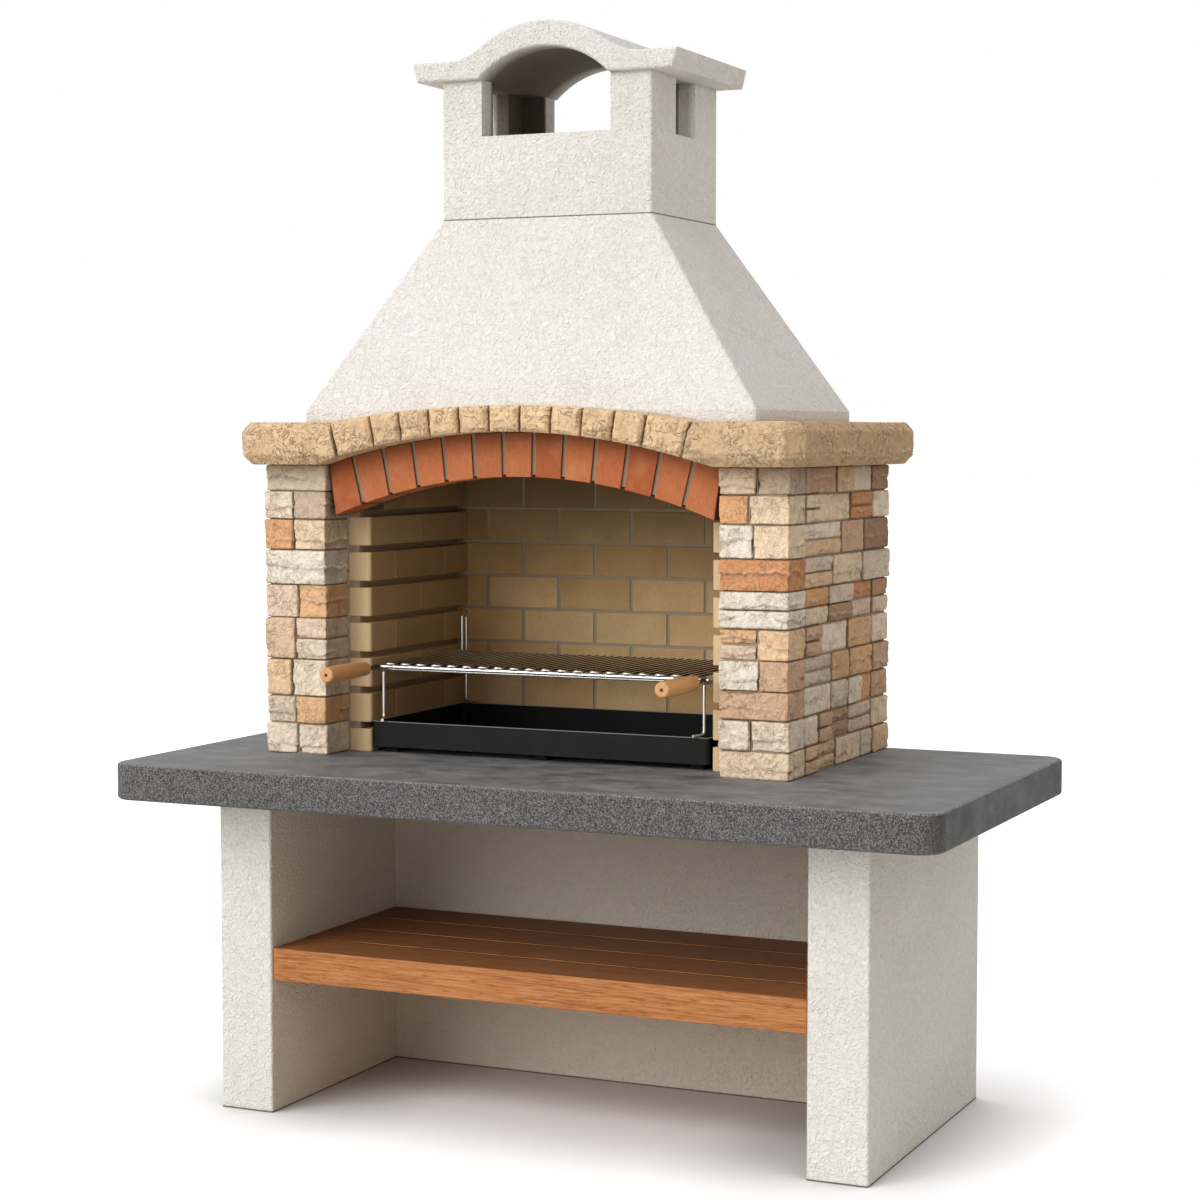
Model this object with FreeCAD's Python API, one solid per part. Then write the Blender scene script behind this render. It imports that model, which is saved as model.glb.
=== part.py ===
import FreeCAD, Part
import math
import os

Vector = FreeCAD.Vector

# Worktop slab
worktop_height = 723.0
slab_width = 1718.0
slab_depth = 894.0
slab_thickness = 73.0
slab_corner_radius = 50.0
slab_edge_radius = 7.0

# Base legs and rear panel
leg_thickness = 121.0
leg_left_inset = 145.0
leg_right_inset = 182.0
leg_front_inset = 181.0
leg_rear_inset = 5.0
leg_edge_radius = 5.0
panel_thickness = 60.0
panel_setback = 132.0

# Wooden log shelf, its battens and the steel pins that carry it
shelf_height = 338.0
plank_thickness = 66.0
plank_count = 4
plank_gap = 3.0
plank_edge_radius = 3.0
shelf_end_gap = 1.5
shelf_front_inset = 5.0
shelf_rear_gap = 0.8
batten_width = 60.0
batten_height = 24.0
batten_inset = 170.0
batten_end_margin = 120.0
pin_diameter = 14.0
pin_reach = 26.0
pin_embedment = 44.0
pin_clearance = 0.2

# Fire unit walls
unit_left_inset = 194.0
unit_depth = 601.0
unit_rear_inset = 7.0
wall_height = 593.0
opening_width = 858.0
pier_width = 143.0
pier_depth = 94.0
veneer_thickness = 30.0
rear_core_thickness = 40.0

# Hewn stones
stone_joint = 3.0
stone_arris = 4.0
stone_relief = 6.0
pointing_recess = 8.0

# Hewn stone courses from the worktop up: a height and its columns from the chamber outwards, each with the
# widths of the stones stacked in it
left_pier_courses = (
    (63, [[70], [73]]),
    (56, [[74], [69]]),
    (75, [[80], [63]]),
    (85, [[73, 73], [70]]),
    (67, [[66], [77]]),
    (71, [[143]]),
    (62, [[75], [68]]),
    (57, [[76], [67]]),
    (54, [[143]]))
right_pier_courses = (
    (55, [[143]]),
    (59, [[66], [77]]),
    (56, [[143]]),
    (58, [[82], [61]]),
    (60, [[78, 78], [65]]),
    (72, [[143, 143]]),
    (61, [[143]]),
    (65, [[70], [73]]),
    (56, [[60], [83]]),
    (53, [[76], [67]]))

# Columns of the side walls from the pier to the rear, one course a line from the worktop up; the left wall
# starts some lines further on
side_columns = (
    [[93, 93], [93, 93], [151], [70], [105]],
    [[76], [76, 76], [99, 99], [134, 134], [105]],
    [[151], [99], [82], [67], [105]],
    [[157, 157], [102], [134], [105]],
    [[93, 93], [157], [143], [105]],
    [[134, 134], [151, 151], [134, 134], [105, 105]],
    [[160, 160], [172], [169]],
    [[215, 215], [134], [157]],
    [[90, 90], [180], [134, 134], [105]],
    [[175], [105], [117], [105]])
left_wall_start = 3

# Firebrick lining with its grid slots
lining_thickness = 50.0
rear_lining_thickness = 30.0
course_pitch = 73.0
first_course = 47.0
slot_count = 7
slot_height = 14.0
slot_depth = 26.0
brick_front_round = 8.0
brick_joint = 2.0
rear_brick_pitch = 172.0
rear_bond_shift = 16.0
rear_joint = 6.0
mortar_recess = 2.0

# Brick arch and the lintel behind it
arch_springing_drop = 102.0
arch_rise = 80.0
arch_end_gap = 15.0
arch_brick_height = 88.0
arch_face_inset = 16.0
arch_brick_count = 13
arch_joint = 9.0
arch_joint_recess = 5.0
arch_fan_depth = 1500.0
arch_end_clearance = 0.5
lintel_depth = 60.0
lintel_step = 4.0

# Mantel ring
mantel_height = 86.0
mantel_front_overhang = 55.0
mantel_side_overhang = 40.0
mantel_rear_overhang = 40.0
mantel_edge_chamfer = 18.0
mantel_corner_chamfer = 31.0
mantel_crown_rise = 32.0
mantel_corner_lap = 39.0
mantel_stone_count = 11
mantel_end_stone = 92.0
mantel_stone_chamfer = 7.0
mantel_joint = 3.0
bed_gap = 0.5

# Smoke hood
hood_height = 409.0
hood_skirt = 22.0
hood_wall = 45.0
hood_edge_radius = 8.0
hood_front_inset = 31.0
hood_side_inset = 78.0
hood_rear_inset = 27.0

# Chimney and cap
chimney_width = 462.0
chimney_depth = 342.0
chimney_rear_inset = 119.0
chimney_wall = 50.0
chimney_edge_radius = 6.0
chimney_block_height = 165.0
crown_height = 113.0
front_window_width = 284.0
side_window_width = 100.0
crown_side_wall = 40.0
cap_end_thickness = 38.0
cap_rise = 71.0
cap_arch_rise = 58.0
cap_side_overhang = 60.0
cap_end_batter = 9.0
cap_front_overhang = 17.0
cap_flank = 215.0
cap_edge_radius = 6.0
cap_crown_share = 0.64

# Charcoal tray
tray_side_gap = 4.0
tray_rear_gap = 35.0
tray_height = 53.0
tray_sheet = 3.0
tray_draft = 2.0
tray_corner_radius = 8.0
tray_front_step = 3.0
tray_foot_height = 12.0
tray_foot_size = 28.0
tray_foot_inset = 34.0
tray_foot_columns = 3

# Wire stand
stand_wire = 6.0
stand_side_gap = 22.0
stand_bend = 9.0
stand_front_step = 18.0
stand_rear_step = 17.0
stand_loop_height = 94.0
stand_loop_width = 19.0
stand_foot_reach = 28.0
stand_foot_splay = 12.0
body_clearance = 0.3
weld_gap = 0.1

# Cooking grid
grid_height = 177.0
grid_side_gap = 9.0
grid_rail = 8.0
grid_bar = 5.0
grid_hairpins = 20
grid_end_margin = 15.0
grid_front_step = 8.0
grid_rear_gap = 10.0
grid_bar_overhang = 7.0

# Turned grips
grip_length = 158.0
grip_diameter = 33.0
grip_neck = 27.0
grip_bore_depth = 70.0
grip_bore_clearance = 0.4
grip_end_hole = 7.0
grip_end_hole_depth = 9.0
grip_end_round = 5.0
grip_taper = 1.0
grip_swell_place = 63.0
rod_diameter = 8.0
rod_visible = 56.0
collar_diameter = 15.0
collar_length = 11.0

# Where the main faces lie
total_depth = slab_depth - unit_rear_inset + mantel_rear_overhang
slab_front = -total_depth / 2
slab_rear = slab_front + slab_depth
slab_half = slab_width / 2
slab_underside = worktop_height - slab_thickness
base_offset = (leg_left_inset - leg_right_inset) / 2
leg_outer = slab_half - (leg_left_inset + leg_right_inset) / 2
leg_inner = leg_outer - leg_thickness
leg_front = slab_front + leg_front_inset
leg_rear = slab_rear - leg_rear_inset
panel_rear = leg_rear - panel_setback
panel_front = panel_rear - panel_thickness
shelf_underside = shelf_height - plank_thickness
shelf_front = leg_front + shelf_front_inset
shelf_rear = panel_front - shelf_rear_gap
unit_rear = slab_rear - unit_rear_inset
unit_front = unit_rear - unit_depth
chamber_front = unit_front + pier_depth
rear_core_front = unit_rear - rear_core_thickness
chamber_rear = rear_core_front - rear_lining_thickness
wall_top = worktop_height + wall_height
half_opening = opening_width / 2
wall_outer = half_opening + pier_width
unit_offset = -slab_half + unit_left_inset + wall_outer
core_outer = wall_outer - veneer_thickness
half_chamber = half_opening - lining_thickness
mantel_top = wall_top + mantel_height
mantel_front = unit_front - mantel_front_overhang
mantel_outer = wall_outer + mantel_side_overhang
mantel_rear = unit_rear + mantel_rear_overhang


def box(x0, x1, y0, y1, z0, z1):
    return Part.makeBox(x1 - x0, y1 - y0, z1 - z0, Vector(x0, y0, z0))


def unit_box(x0, x1, y0, y1, z0, z1):
    return box(unit_offset + x0, unit_offset + x1, y0, y1, z0, z1)


def base_box(x0, x1, y0, y1, z0, z1):
    return box(base_offset + x0, base_offset + x1, y0, y1, z0, z1)


def mirrored(shape):
    return shape.mirror(Vector(unit_offset, 0, 0), Vector(1, 0, 0))


def base_mirrored(shape):
    return shape.mirror(Vector(base_offset, 0, 0), Vector(1, 0, 0))


def save(node, solids):
    Part.makeCompound(solids).exportStep("parts/" + node + ".step")


def upright_edges(shape):
    return [edge for edge in shape.Edges if abs(edge.tangentAt(edge.FirstParameter).z) > 0.999]


def edges_at(shape, axis, value):
    return [edge for edge in shape.Edges
            if all(abs(vertex.Point[axis] - value) < 1e-4 for vertex in edge.Vertexes)]


def front_prism(points, y0, y1):
    # A front outline of (x from the unit's middle, z) corners, drawn back from y0 to y1
    corners = [Vector(unit_offset + x, y0, z) for x, z in points]
    face = Part.Face(Part.makePolygon(corners + corners[:1]))
    return face.extrude(Vector(0, y1 - y0, 0))


def front_cylinder(radius, centre_z, y0, y1):
    return Part.makeCylinder(radius, y1 - y0, Vector(unit_offset, y0, centre_z), Vector(0, 1, 0))


def arc_radius(half_span, rise):
    return (half_span ** 2 + rise ** 2) / (2 * rise)


def rounded_rectangle(x0, x1, y0, y1, radius, z):
    plate = box(x0, x1, y0, y1, z, z + radius)
    rounded = plate.makeFillet(radius, upright_edges(plate))
    return Part.Wire(Part.__sortEdges__(edges_at(rounded, 2, z)))


def bent_wire(points, bend, diameter):
    # Straight runs joined by tangent arcs of one bend radius, as wire is bent in a jig
    path = []
    start = points[0]
    for before, corner, after in zip(points, points[1:], points[2:]):
        way_in = Vector(corner - before).normalize()
        way_out = Vector(after - corner).normalize()
        half_turn = way_in.getAngle(way_out) / 2
        trim = bend * math.tan(half_turn)
        inward = Vector(way_out - way_in).normalize()
        bend_start = corner - way_in * trim
        bend_end = corner + way_out * trim
        bend_middle = corner + inward * (bend / math.cos(half_turn) - bend)
        path.append(Part.LineSegment(start, bend_start).toShape())
        path.append(Part.Arc(bend_start, bend_middle, bend_end).toShape())
        start = bend_end
    path.append(Part.LineSegment(start, points[-1]).toShape())
    profile = Part.Wire(Part.makeCircle(diameter / 2, points[0], points[1] - points[0]))
    return Part.Wire(path).makePipeShell([profile], True, False)


def hewn_block(x0, x1, y0, y1, z0, z1, seat_axis, seat):
    # A split-faced stone: every arris is broken but those round the face that is bedded on the core
    block = unit_box(x0, x1, y0, y1, z0, z1)
    bedded = unit_offset + seat if seat_axis == 0 else seat
    kept = edges_at(block, seat_axis, bedded)
    broken = [edge for edge in block.Edges if not any(edge.isSame(other) for other in kept)]
    return block.makeChamfer(stone_arris, broken)


def spread(shares, low, high):
    # Boundaries between low and high in proportion to the shares
    total = sum(shares)
    bounds = [low]
    for share in shares:
        bounds.append(bounds[-1] + share * (high - low) / total)
    return bounds


def relief_of(row, column):
    return stone_relief * ((3 * row + 5 * column) % 4) / 3


# Base
def base_leg():
    leg = base_box(leg_inner, leg_outer, leg_front, leg_rear, 0, slab_underside)
    leg = leg.makeFillet(leg_edge_radius, upright_edges(leg))
    for pin_y in pin_places():
        leg = leg.cut(shelf_pin(pin_y, pin_diameter + 2 * pin_clearance))
    return leg


def plank_depth():
    return (shelf_rear - shelf_front - (plank_count - 1) * plank_gap) / plank_count


def pin_places():
    half_plank = plank_depth() / 2
    return (shelf_front + half_plank, shelf_rear - half_plank)


def shelf_pin(pin_y, diameter):
    start = Vector(base_offset + leg_inner - pin_reach, pin_y,
                   shelf_underside - pin_diameter / 2 - weld_gap)
    return Part.makeCylinder(diameter / 2, pin_reach + pin_embedment, start, Vector(1, 0, 0))


def shelf_plank(number):
    front = shelf_front + number * (plank_depth() + plank_gap)
    half_length = leg_inner - shelf_end_gap
    plank = base_box(-half_length, half_length, front, front + plank_depth(), shelf_underside, shelf_height)
    long_edges = [edge for edge in plank.Edges if abs(edge.tangentAt(0).x) > 0.999]
    return plank.makeFillet(plank_edge_radius, long_edges)


def shelf_batten(side):
    middle = side * (leg_inner - batten_inset)
    return base_box(middle - batten_width / 2, middle + batten_width / 2,
                    shelf_front + batten_end_margin, shelf_rear - batten_end_margin,
                    shelf_underside - batten_height, shelf_underside)


def worktop_slab():
    slab = box(-slab_half, slab_half, slab_front, slab_rear, slab_underside, worktop_height)
    slab = slab.makeFillet(slab_corner_radius, upright_edges(slab))
    rims = edges_at(slab, 2, worktop_height) + edges_at(slab, 2, slab_underside)
    return slab.makeFillet(slab_edge_radius, rims)


# Walls
def course_heights(courses):
    return spread([height for height, columns in courses], worktop_height, wall_top)


def column_bounds(columns, low, high):
    return spread([widths[0] for widths in columns], low, high)


def stacked(low, high, widths):
    gap = stone_joint / 2
    levels = spread([1 for width in widths], low, high)
    return [(bottom + gap, top - gap) for bottom, top in zip(levels, levels[1:])]


def pier_stones(courses):
    gap = stone_joint / 2
    levels = course_heights(courses)
    blocks = []
    for row, (height, columns) in enumerate(courses):
        bounds = column_bounds(columns, half_opening - gap, wall_outer + gap)
        for column, widths in enumerate(columns):
            front = unit_front + stone_relief / 2 - relief_of(row, column)
            for low, high in stacked(levels[row], levels[row + 1], widths):
                blocks.append(hewn_block(bounds[column] + gap, bounds[column + 1] - gap,
                                         front, chamber_front, low, high, 1, chamber_front))
    return blocks


def side_stones(courses, start):
    gap = stone_joint / 2
    levels = course_heights(courses)
    blocks = []
    for row in range(len(courses)):
        columns = side_columns[(start + row) % len(side_columns)]
        bounds = column_bounds(columns, chamber_front, unit_rear + gap)
        for column, widths in enumerate(columns):
            face = wall_outer - stone_relief / 2 + relief_of(row + 1, column)
            for low, high in stacked(levels[row], levels[row + 1], widths):
                blocks.append(hewn_block(core_outer, face, bounds[column] + gap, bounds[column + 1] - gap,
                                         low, high, 0, core_outer))
    return blocks


def pier_mortar(stones):
    bed = unit_box(half_opening + pointing_recess, wall_outer - pointing_recess,
                   unit_front + pointing_recess, chamber_front, worktop_height, wall_top)
    return bed.cut(Part.makeCompound(stones)).Solids


def side_mortar(stones):
    bed = unit_box(core_outer, wall_outer - pointing_recess, chamber_front, unit_rear - pointing_recess,
                   worktop_height, wall_top)
    return bed.cut(Part.makeCompound(stones)).Solids


def wall_core():
    return unit_box(half_opening, core_outer, chamber_front, unit_rear, worktop_height, wall_top)


def rear_core():
    return unit_box(-half_opening, half_opening, rear_core_front, unit_rear, worktop_height, wall_top)


# Firebrick lining
def slot_floor(number):
    return worktop_height + first_course + number * course_pitch


def lining_courses():
    bottoms = [worktop_height] + [slot_floor(number) + slot_height for number in range(slot_count)]
    tops = [slot_floor(number) for number in range(slot_count)] + [wall_top]
    return list(zip(bottoms, tops))


def lining_bricks():
    gap = brick_joint / 2
    bricks = []
    for number, (low, high) in enumerate(lining_courses()):
        front = chamber_front + lintel_depth if number == slot_count else chamber_front
        bond = (1, 1) if number % 2 == 0 else (1, 2, 1)
        bounds = spread(bond, front - gap, chamber_rear + gap)
        for start, end in zip(bounds, bounds[1:]):
            bricks.append(unit_box(half_chamber, half_opening, start + gap, end - gap, low, high))
        if front == chamber_front:
            bricks.append(bull_nosed(bricks.pop(-len(bond))))
    return bricks


def bull_nosed(brick):
    # The arris at the chamber's mouth is rounded
    mouth = [edge for edge in upright_edges(brick) if edge.BoundBox.YMax < chamber_front + brick_front_round
             and edge.BoundBox.XMax < unit_offset + half_chamber + brick_front_round]
    return brick.makeFillet(brick_front_round, mouth)


def lining_mortar():
    return [unit_box(half_chamber + slot_depth, half_opening, chamber_front + mortar_recess, chamber_rear,
                     slot_floor(number), slot_floor(number) + slot_height) for number in range(slot_count)]


def rear_bricks():
    gap = rear_joint / 2
    joints = [slot_floor(number) + slot_height / 2 for number in range(slot_count)]
    levels = [worktop_height - gap] + joints + [wall_top + gap]
    bricks = []
    for row, (low, high) in enumerate(zip(levels, levels[1:])):
        shift = rear_bond_shift if row % 2 == 0 else rear_bond_shift - rear_brick_pitch / 2
        reach = math.ceil(half_opening / rear_brick_pitch)
        steps = range(-reach, reach + 1)
        joints_x = [shift + step * rear_brick_pitch for step in steps]
        inside = [x for x in joints_x if abs(x) < half_opening - 2 * rear_joint]
        bounds = [-half_opening - gap] + inside + [half_opening + gap]
        for left, right in zip(bounds, bounds[1:]):
            bricks.append(unit_box(left + gap, right - gap, chamber_rear, rear_core_front,
                                   low + gap, high - gap))
    return bricks


def rear_mortar(bricks):
    bed = unit_box(-half_opening, half_opening, chamber_rear + mortar_recess, rear_core_front,
                   worktop_height, wall_top)
    return bed.cut(Part.makeCompound(bricks)).Solids


# Brick arch: the soffit is one arc, and the back of the bricks a flatter one that springs from the piers
arch_half_span = half_opening - arch_end_gap
springing_z = wall_top - arch_springing_drop
soffit_radius = arc_radius(arch_half_span, arch_rise)
soffit_crown = springing_z + arch_rise
soffit_centre = soffit_crown - soffit_radius
back_crown = soffit_crown + arch_brick_height
back_radius = arc_radius(half_opening, back_crown - wall_top)
back_centre = back_crown - back_radius
fan_point = soffit_crown - arch_fan_depth
arch_front = unit_front + arch_face_inset


def fan_x(x, z, height):
    # Joints fan out from one point far below the crown
    return x * (height - fan_point) / (z - fan_point)


def arch_joint_x(number, height):
    # Where a joint line is at a height: the first and last lines are the cut ends against the piers
    end_lean = (height - springing_z) / (wall_top - springing_z)
    end_x = arch_half_span + (half_opening - arch_end_clearance - arch_half_span) * end_lean
    if number == 0:
        return -end_x
    if number == arch_brick_count:
        return end_x
    x = arch_half_span * (2 * number / arch_brick_count - 1)
    z = soffit_centre + math.sqrt(soffit_radius ** 2 - x ** 2)
    return fan_x(x, z, height)


def arch_piece(left, left_gap, right, right_gap, face, soffit_rise):
    low = springing_z - arch_rise
    high = back_crown + arch_rise
    outline = [(arch_joint_x(left, low) + left_gap, low), (arch_joint_x(right, low) + right_gap, low),
               (arch_joint_x(right, high) + right_gap, high), (arch_joint_x(left, high) + left_gap, high)]
    wedge = front_prism(outline, face, chamber_front)
    back = front_cylinder(back_radius, back_centre, face, chamber_front)
    void = front_cylinder(soffit_radius + soffit_rise, soffit_centre, face, chamber_front)
    return wedge.common(back).cut(void)


def arch_bricks():
    gap = arch_joint / 2
    bricks = []
    for number in range(arch_brick_count):
        left_gap = gap if number > 0 else 0
        right_gap = -gap if number < arch_brick_count - 1 else 0
        bricks.append(arch_piece(number, left_gap, number + 1, right_gap, arch_front, 0))
    return bricks


def arch_mortar():
    gap = arch_joint / 2
    return [arch_piece(number, -gap, number, gap, arch_front + arch_joint_recess, arch_joint_recess)
            for number in range(1, arch_brick_count)]


def arch_lintel():
    bearing = slot_floor(slot_count - 1) + slot_height
    beam = unit_box(-half_opening, half_opening, chamber_front, chamber_front + lintel_depth,
                    bearing, mantel_top)
    void = front_cylinder(soffit_radius + lintel_step, soffit_centre,
                          chamber_front, chamber_front + lintel_depth)
    clear_width = unit_box(-half_chamber, half_chamber, chamber_front, chamber_front + lintel_depth,
                           bearing, mantel_top)
    return beam.cut(void.common(clear_width))


# Mantel ring
half_mantel_arch = half_opening - mantel_corner_lap
crown_radius = arc_radius(half_mantel_arch, mantel_crown_rise)
crown_centre = mantel_top + mantel_crown_rise - crown_radius
hood_front = unit_front + hood_front_inset
hood_rear = unit_rear - hood_rear_inset
hood_half = wall_outer - hood_side_inset


def mantel_joints():
    inner = half_mantel_arch - mantel_end_stone
    middle = spread([1] * (mantel_stone_count - 2), -inner, inner)
    return [-half_mantel_arch] + middle + [half_mantel_arch]


def under_arch():
    return front_cylinder(back_radius + bed_gap, back_centre, mantel_front, chamber_front)


def hood_seat():
    top = mantel_top + 2 * mantel_crown_rise
    return unit_box(-mantel_outer, mantel_outer, hood_front - bed_gap, chamber_front, mantel_top, top)


def mantel_wedge(left_x, right_x, low, high):
    corners = [(fan_x(left_x, mantel_top, low), low), (fan_x(right_x, mantel_top, low), low),
               (fan_x(right_x, mantel_top, high), high), (fan_x(left_x, mantel_top, high), high)]
    return front_prism(corners, mantel_front, chamber_front)


def mantel_arch_stones():
    gap = mantel_joint / 2
    joints = mantel_joints()
    low = wall_top
    high = mantel_top + 2 * mantel_crown_rise
    back = front_cylinder(crown_radius, crown_centre, mantel_front, chamber_front)
    stones = []
    for left_x, right_x in zip(joints, joints[1:]):
        stone = mantel_wedge(left_x + gap, right_x - gap, low, high).common(back).cut(under_arch())
        stone = stone.cut(hood_seat()).Solids[0]
        stones.append(stone.makeChamfer(mantel_stone_chamfer, edges_at(stone, 1, mantel_front)))
    return stones


def mantel_corner():
    # One L-shaped casting: the front block beside the arch and the return along the side wall
    plan = [(0, mantel_front), (mantel_outer - mantel_corner_chamfer, mantel_front),
            (mantel_outer, mantel_front + mantel_corner_chamfer), (mantel_outer, mantel_rear),
            (half_opening, mantel_rear), (half_opening, chamber_front), (0, chamber_front)]
    corners = [Vector(unit_offset + x, y, wall_top) for x, y in plan]
    block = Part.Face(Part.makePolygon(corners + corners[:1])).extrude(Vector(0, 0, mantel_height))
    outer_face = unit_offset + mantel_outer
    outer = [edge for edge in block.Edges if abs(edge.tangentAt(0).z) < 0.001
             and (edge.BoundBox.YMin < mantel_front + 1e-3 or edge.BoundBox.XMin > outer_face - 1e-3)]
    block = block.makeChamfer(mantel_edge_chamfer, outer)
    joint = half_mantel_arch + mantel_joint / 2
    inner_part = mantel_wedge(-joint, joint, wall_top - mantel_height, mantel_top + mantel_height)
    return block.cut(inner_part).cut(under_arch()).Solids[0]


def mantel_rear_beam():
    beam = unit_box(-half_opening, half_opening, chamber_rear, mantel_rear, wall_top, mantel_top)
    outer = [edge for edge in edges_at(beam, 1, mantel_rear) if abs(edge.tangentAt(0).x) > 0.999]
    return beam.makeChamfer(mantel_edge_chamfer, outer)


# Smoke hood, chimney and cap
chimney_half = chimney_width / 2
chimney_rear = unit_rear - chimney_rear_inset
chimney_front = chimney_rear - chimney_depth
hood_top = mantel_top + hood_height
sill_z = hood_top + chimney_block_height
crown_top = sill_z + crown_height


def rectangle(half_width, y0, y1, z):
    x0 = unit_offset - half_width
    x1 = unit_offset + half_width
    return Part.makePolygon([Vector(x0, y0, z), Vector(x1, y0, z), Vector(x1, y1, z),
                             Vector(x0, y1, z), Vector(x0, y0, z)])


def hood_form(wall):
    foot = (hood_half - wall, hood_front + wall, hood_rear - wall)
    neck = (chimney_half - wall, chimney_front + wall, chimney_rear - wall)
    sections = [rectangle(*foot, mantel_top), rectangle(*foot, mantel_top + hood_skirt),
                rectangle(*neck, hood_top)]
    return Part.makeLoft(sections, True, True)


def smoke_hood():
    form = hood_form(0)
    seats = edges_at(form, 2, mantel_top) + edges_at(form, 2, hood_top)
    rounded = [edge for edge in form.Edges if not any(edge.isSame(seat) for seat in seats)]
    return form.makeFillet(hood_edge_radius, rounded).cut(hood_form(hood_wall))


def outer_corners(block):
    # Upright edges on the chimney's own corners
    return [edge for edge in upright_edges(block)
            if abs(abs(edge.Vertexes[0].X - unit_offset) - chimney_half) < 1e-4
            and min(abs(edge.Vertexes[0].Y - chimney_front), abs(edge.Vertexes[0].Y - chimney_rear)) < 1e-4]


def chimney_block():
    outer = unit_box(-chimney_half, chimney_half, chimney_front, chimney_rear, hood_top, sill_z)
    outer = outer.makeFillet(chimney_edge_radius, outer_corners(outer))
    flue_half = chimney_half - chimney_wall
    flue = unit_box(-flue_half, flue_half, chimney_front + chimney_wall, chimney_rear - chimney_wall,
                    hood_top, sill_z)
    return outer.cut(flue)


def crown_posts():
    # Four angle posts: the corners of a hollow crown, between its front, rear and side windows
    window_half = front_window_width / 2
    middle = (chimney_front + chimney_rear) / 2
    front_end = middle - side_window_width / 2
    corner = unit_box(window_half, chimney_half, chimney_front, front_end, sill_z, crown_top)
    corner = corner.makeFillet(chimney_edge_radius, outer_corners(corner))
    hollow = unit_box(window_half, chimney_half - crown_side_wall, chimney_front + chimney_wall, front_end,
                      sill_z, crown_top)
    front_post = corner.cut(hollow)
    rear_post = front_post.mirror(Vector(0, middle, 0), Vector(0, 1, 0))
    posts = [front_post, rear_post]
    return posts + [mirrored(post) for post in posts]


def chimney_cap():
    # Front outline: flat eaves, a hollow flank and a round crown that meet in tangent arcs, arched below
    eave_z = crown_top + cap_end_thickness
    crown_z = eave_z + cap_rise
    radii = arc_radius(cap_flank, cap_rise)
    crown_arc = cap_crown_share * radii
    flank_arc = radii - crown_arc
    lean = math.asin(cap_flank / radii)
    window_half = front_window_width / 2
    eave_half = chimney_half + cap_side_overhang
    y = chimney_front - cap_front_overhang

    def at(x, z):
        return Vector(unit_offset + x, y, z)

    def crown_at(turn):
        return at(crown_arc * math.sin(turn), crown_z - crown_arc * (1 - math.cos(turn)))

    def flank_at(side, turn):
        return at(side * (cap_flank - flank_arc * math.sin(turn)),
                  eave_z + flank_arc * (1 - math.cos(turn)))

    outline = [
        Part.LineSegment(at(-eave_half + cap_end_batter, crown_top), at(-window_half, crown_top)),
        Part.Arc(at(-window_half, crown_top), at(0, crown_top + cap_arch_rise), at(window_half, crown_top)),
        Part.LineSegment(at(window_half, crown_top), at(eave_half - cap_end_batter, crown_top)),
        Part.LineSegment(at(eave_half - cap_end_batter, crown_top), at(eave_half, eave_z)),
        Part.LineSegment(at(eave_half, eave_z), at(cap_flank, eave_z)),
        Part.Arc(at(cap_flank, eave_z), flank_at(1, lean / 2), crown_at(lean)),
        Part.Arc(crown_at(lean), crown_at(0), crown_at(-lean)),
        Part.Arc(crown_at(-lean), flank_at(-1, lean / 2), at(-cap_flank, eave_z)),
        Part.LineSegment(at(-cap_flank, eave_z), at(-eave_half, eave_z)),
        Part.LineSegment(at(-eave_half, eave_z), at(-eave_half + cap_end_batter, crown_top))]
    face = Part.Face(Part.Wire([edge.toShape() for edge in outline]))
    depth = chimney_depth + 2 * cap_front_overhang
    cap = face.extrude(Vector(0, depth, 0))
    rims = edges_at(cap, 1, y) + edges_at(cap, 1, y + depth)
    return cap.makeFillet(cap_edge_radius, rims)


# Charcoal tray
tray_half = half_chamber - tray_side_gap
tray_front = chamber_front - tray_front_step
tray_rear = chamber_rear - tray_rear_gap
tray_floor = worktop_height + tray_foot_height
tray_rim = tray_floor + tray_height


def tray_form(wall, floor):
    # A pressed pan: the floor is smaller than the rim by the draft
    sections = []
    for draft, z in ((tray_draft, floor), (0, tray_rim)):
        half = tray_half - wall - draft
        front = tray_front + wall + draft
        rear = tray_rear - wall - draft
        sections.append(rounded_rectangle(unit_offset - half, unit_offset + half, front, rear,
                                          tray_corner_radius - wall, z))
    return Part.makeLoft(sections, True, True)


def charcoal_tray():
    return tray_form(0, tray_floor).cut(tray_form(tray_sheet, tray_floor + tray_sheet))


def tray_feet():
    half = tray_foot_size / 2
    reach_x = tray_half - tray_foot_inset
    columns = spread([1] * (tray_foot_columns - 1), -reach_x, reach_x)
    feet = []
    for x in columns:
        for y in (tray_front + tray_foot_inset, tray_rear - tray_foot_inset):
            feet.append(unit_box(x - half, x + half, y - half, y + half, worktop_height, tray_floor))
    return feet


# Wire stand: the grid lies on its two side rails, in front of the two upright loops
rail_z = worktop_height + grid_height
stand_half = half_chamber - stand_side_gap
stand_rail_z = rail_z - grid_rail / 2 - body_clearance - stand_wire / 2
stand_front = tray_front + stand_front_step
stand_rear = tray_rear - stand_rear_step
loop_front = stand_rear - stand_loop_width
foot_z = tray_rim + body_clearance + stand_wire / 2


def stand_frame():
    x = unit_offset + stand_half
    toe = x - stand_foot_splay
    loop_top = stand_rail_z + stand_loop_height
    points = [Vector(toe, stand_front - stand_foot_reach, foot_z), Vector(x, stand_front, foot_z),
              Vector(x, stand_front, stand_rail_z), Vector(x, loop_front, stand_rail_z),
              Vector(x, loop_front, loop_top), Vector(x, stand_rear, loop_top),
              Vector(x, stand_rear, foot_z), Vector(toe, stand_rear + stand_foot_reach, foot_z)]
    return bent_wire(points, stand_bend, stand_wire)


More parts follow.
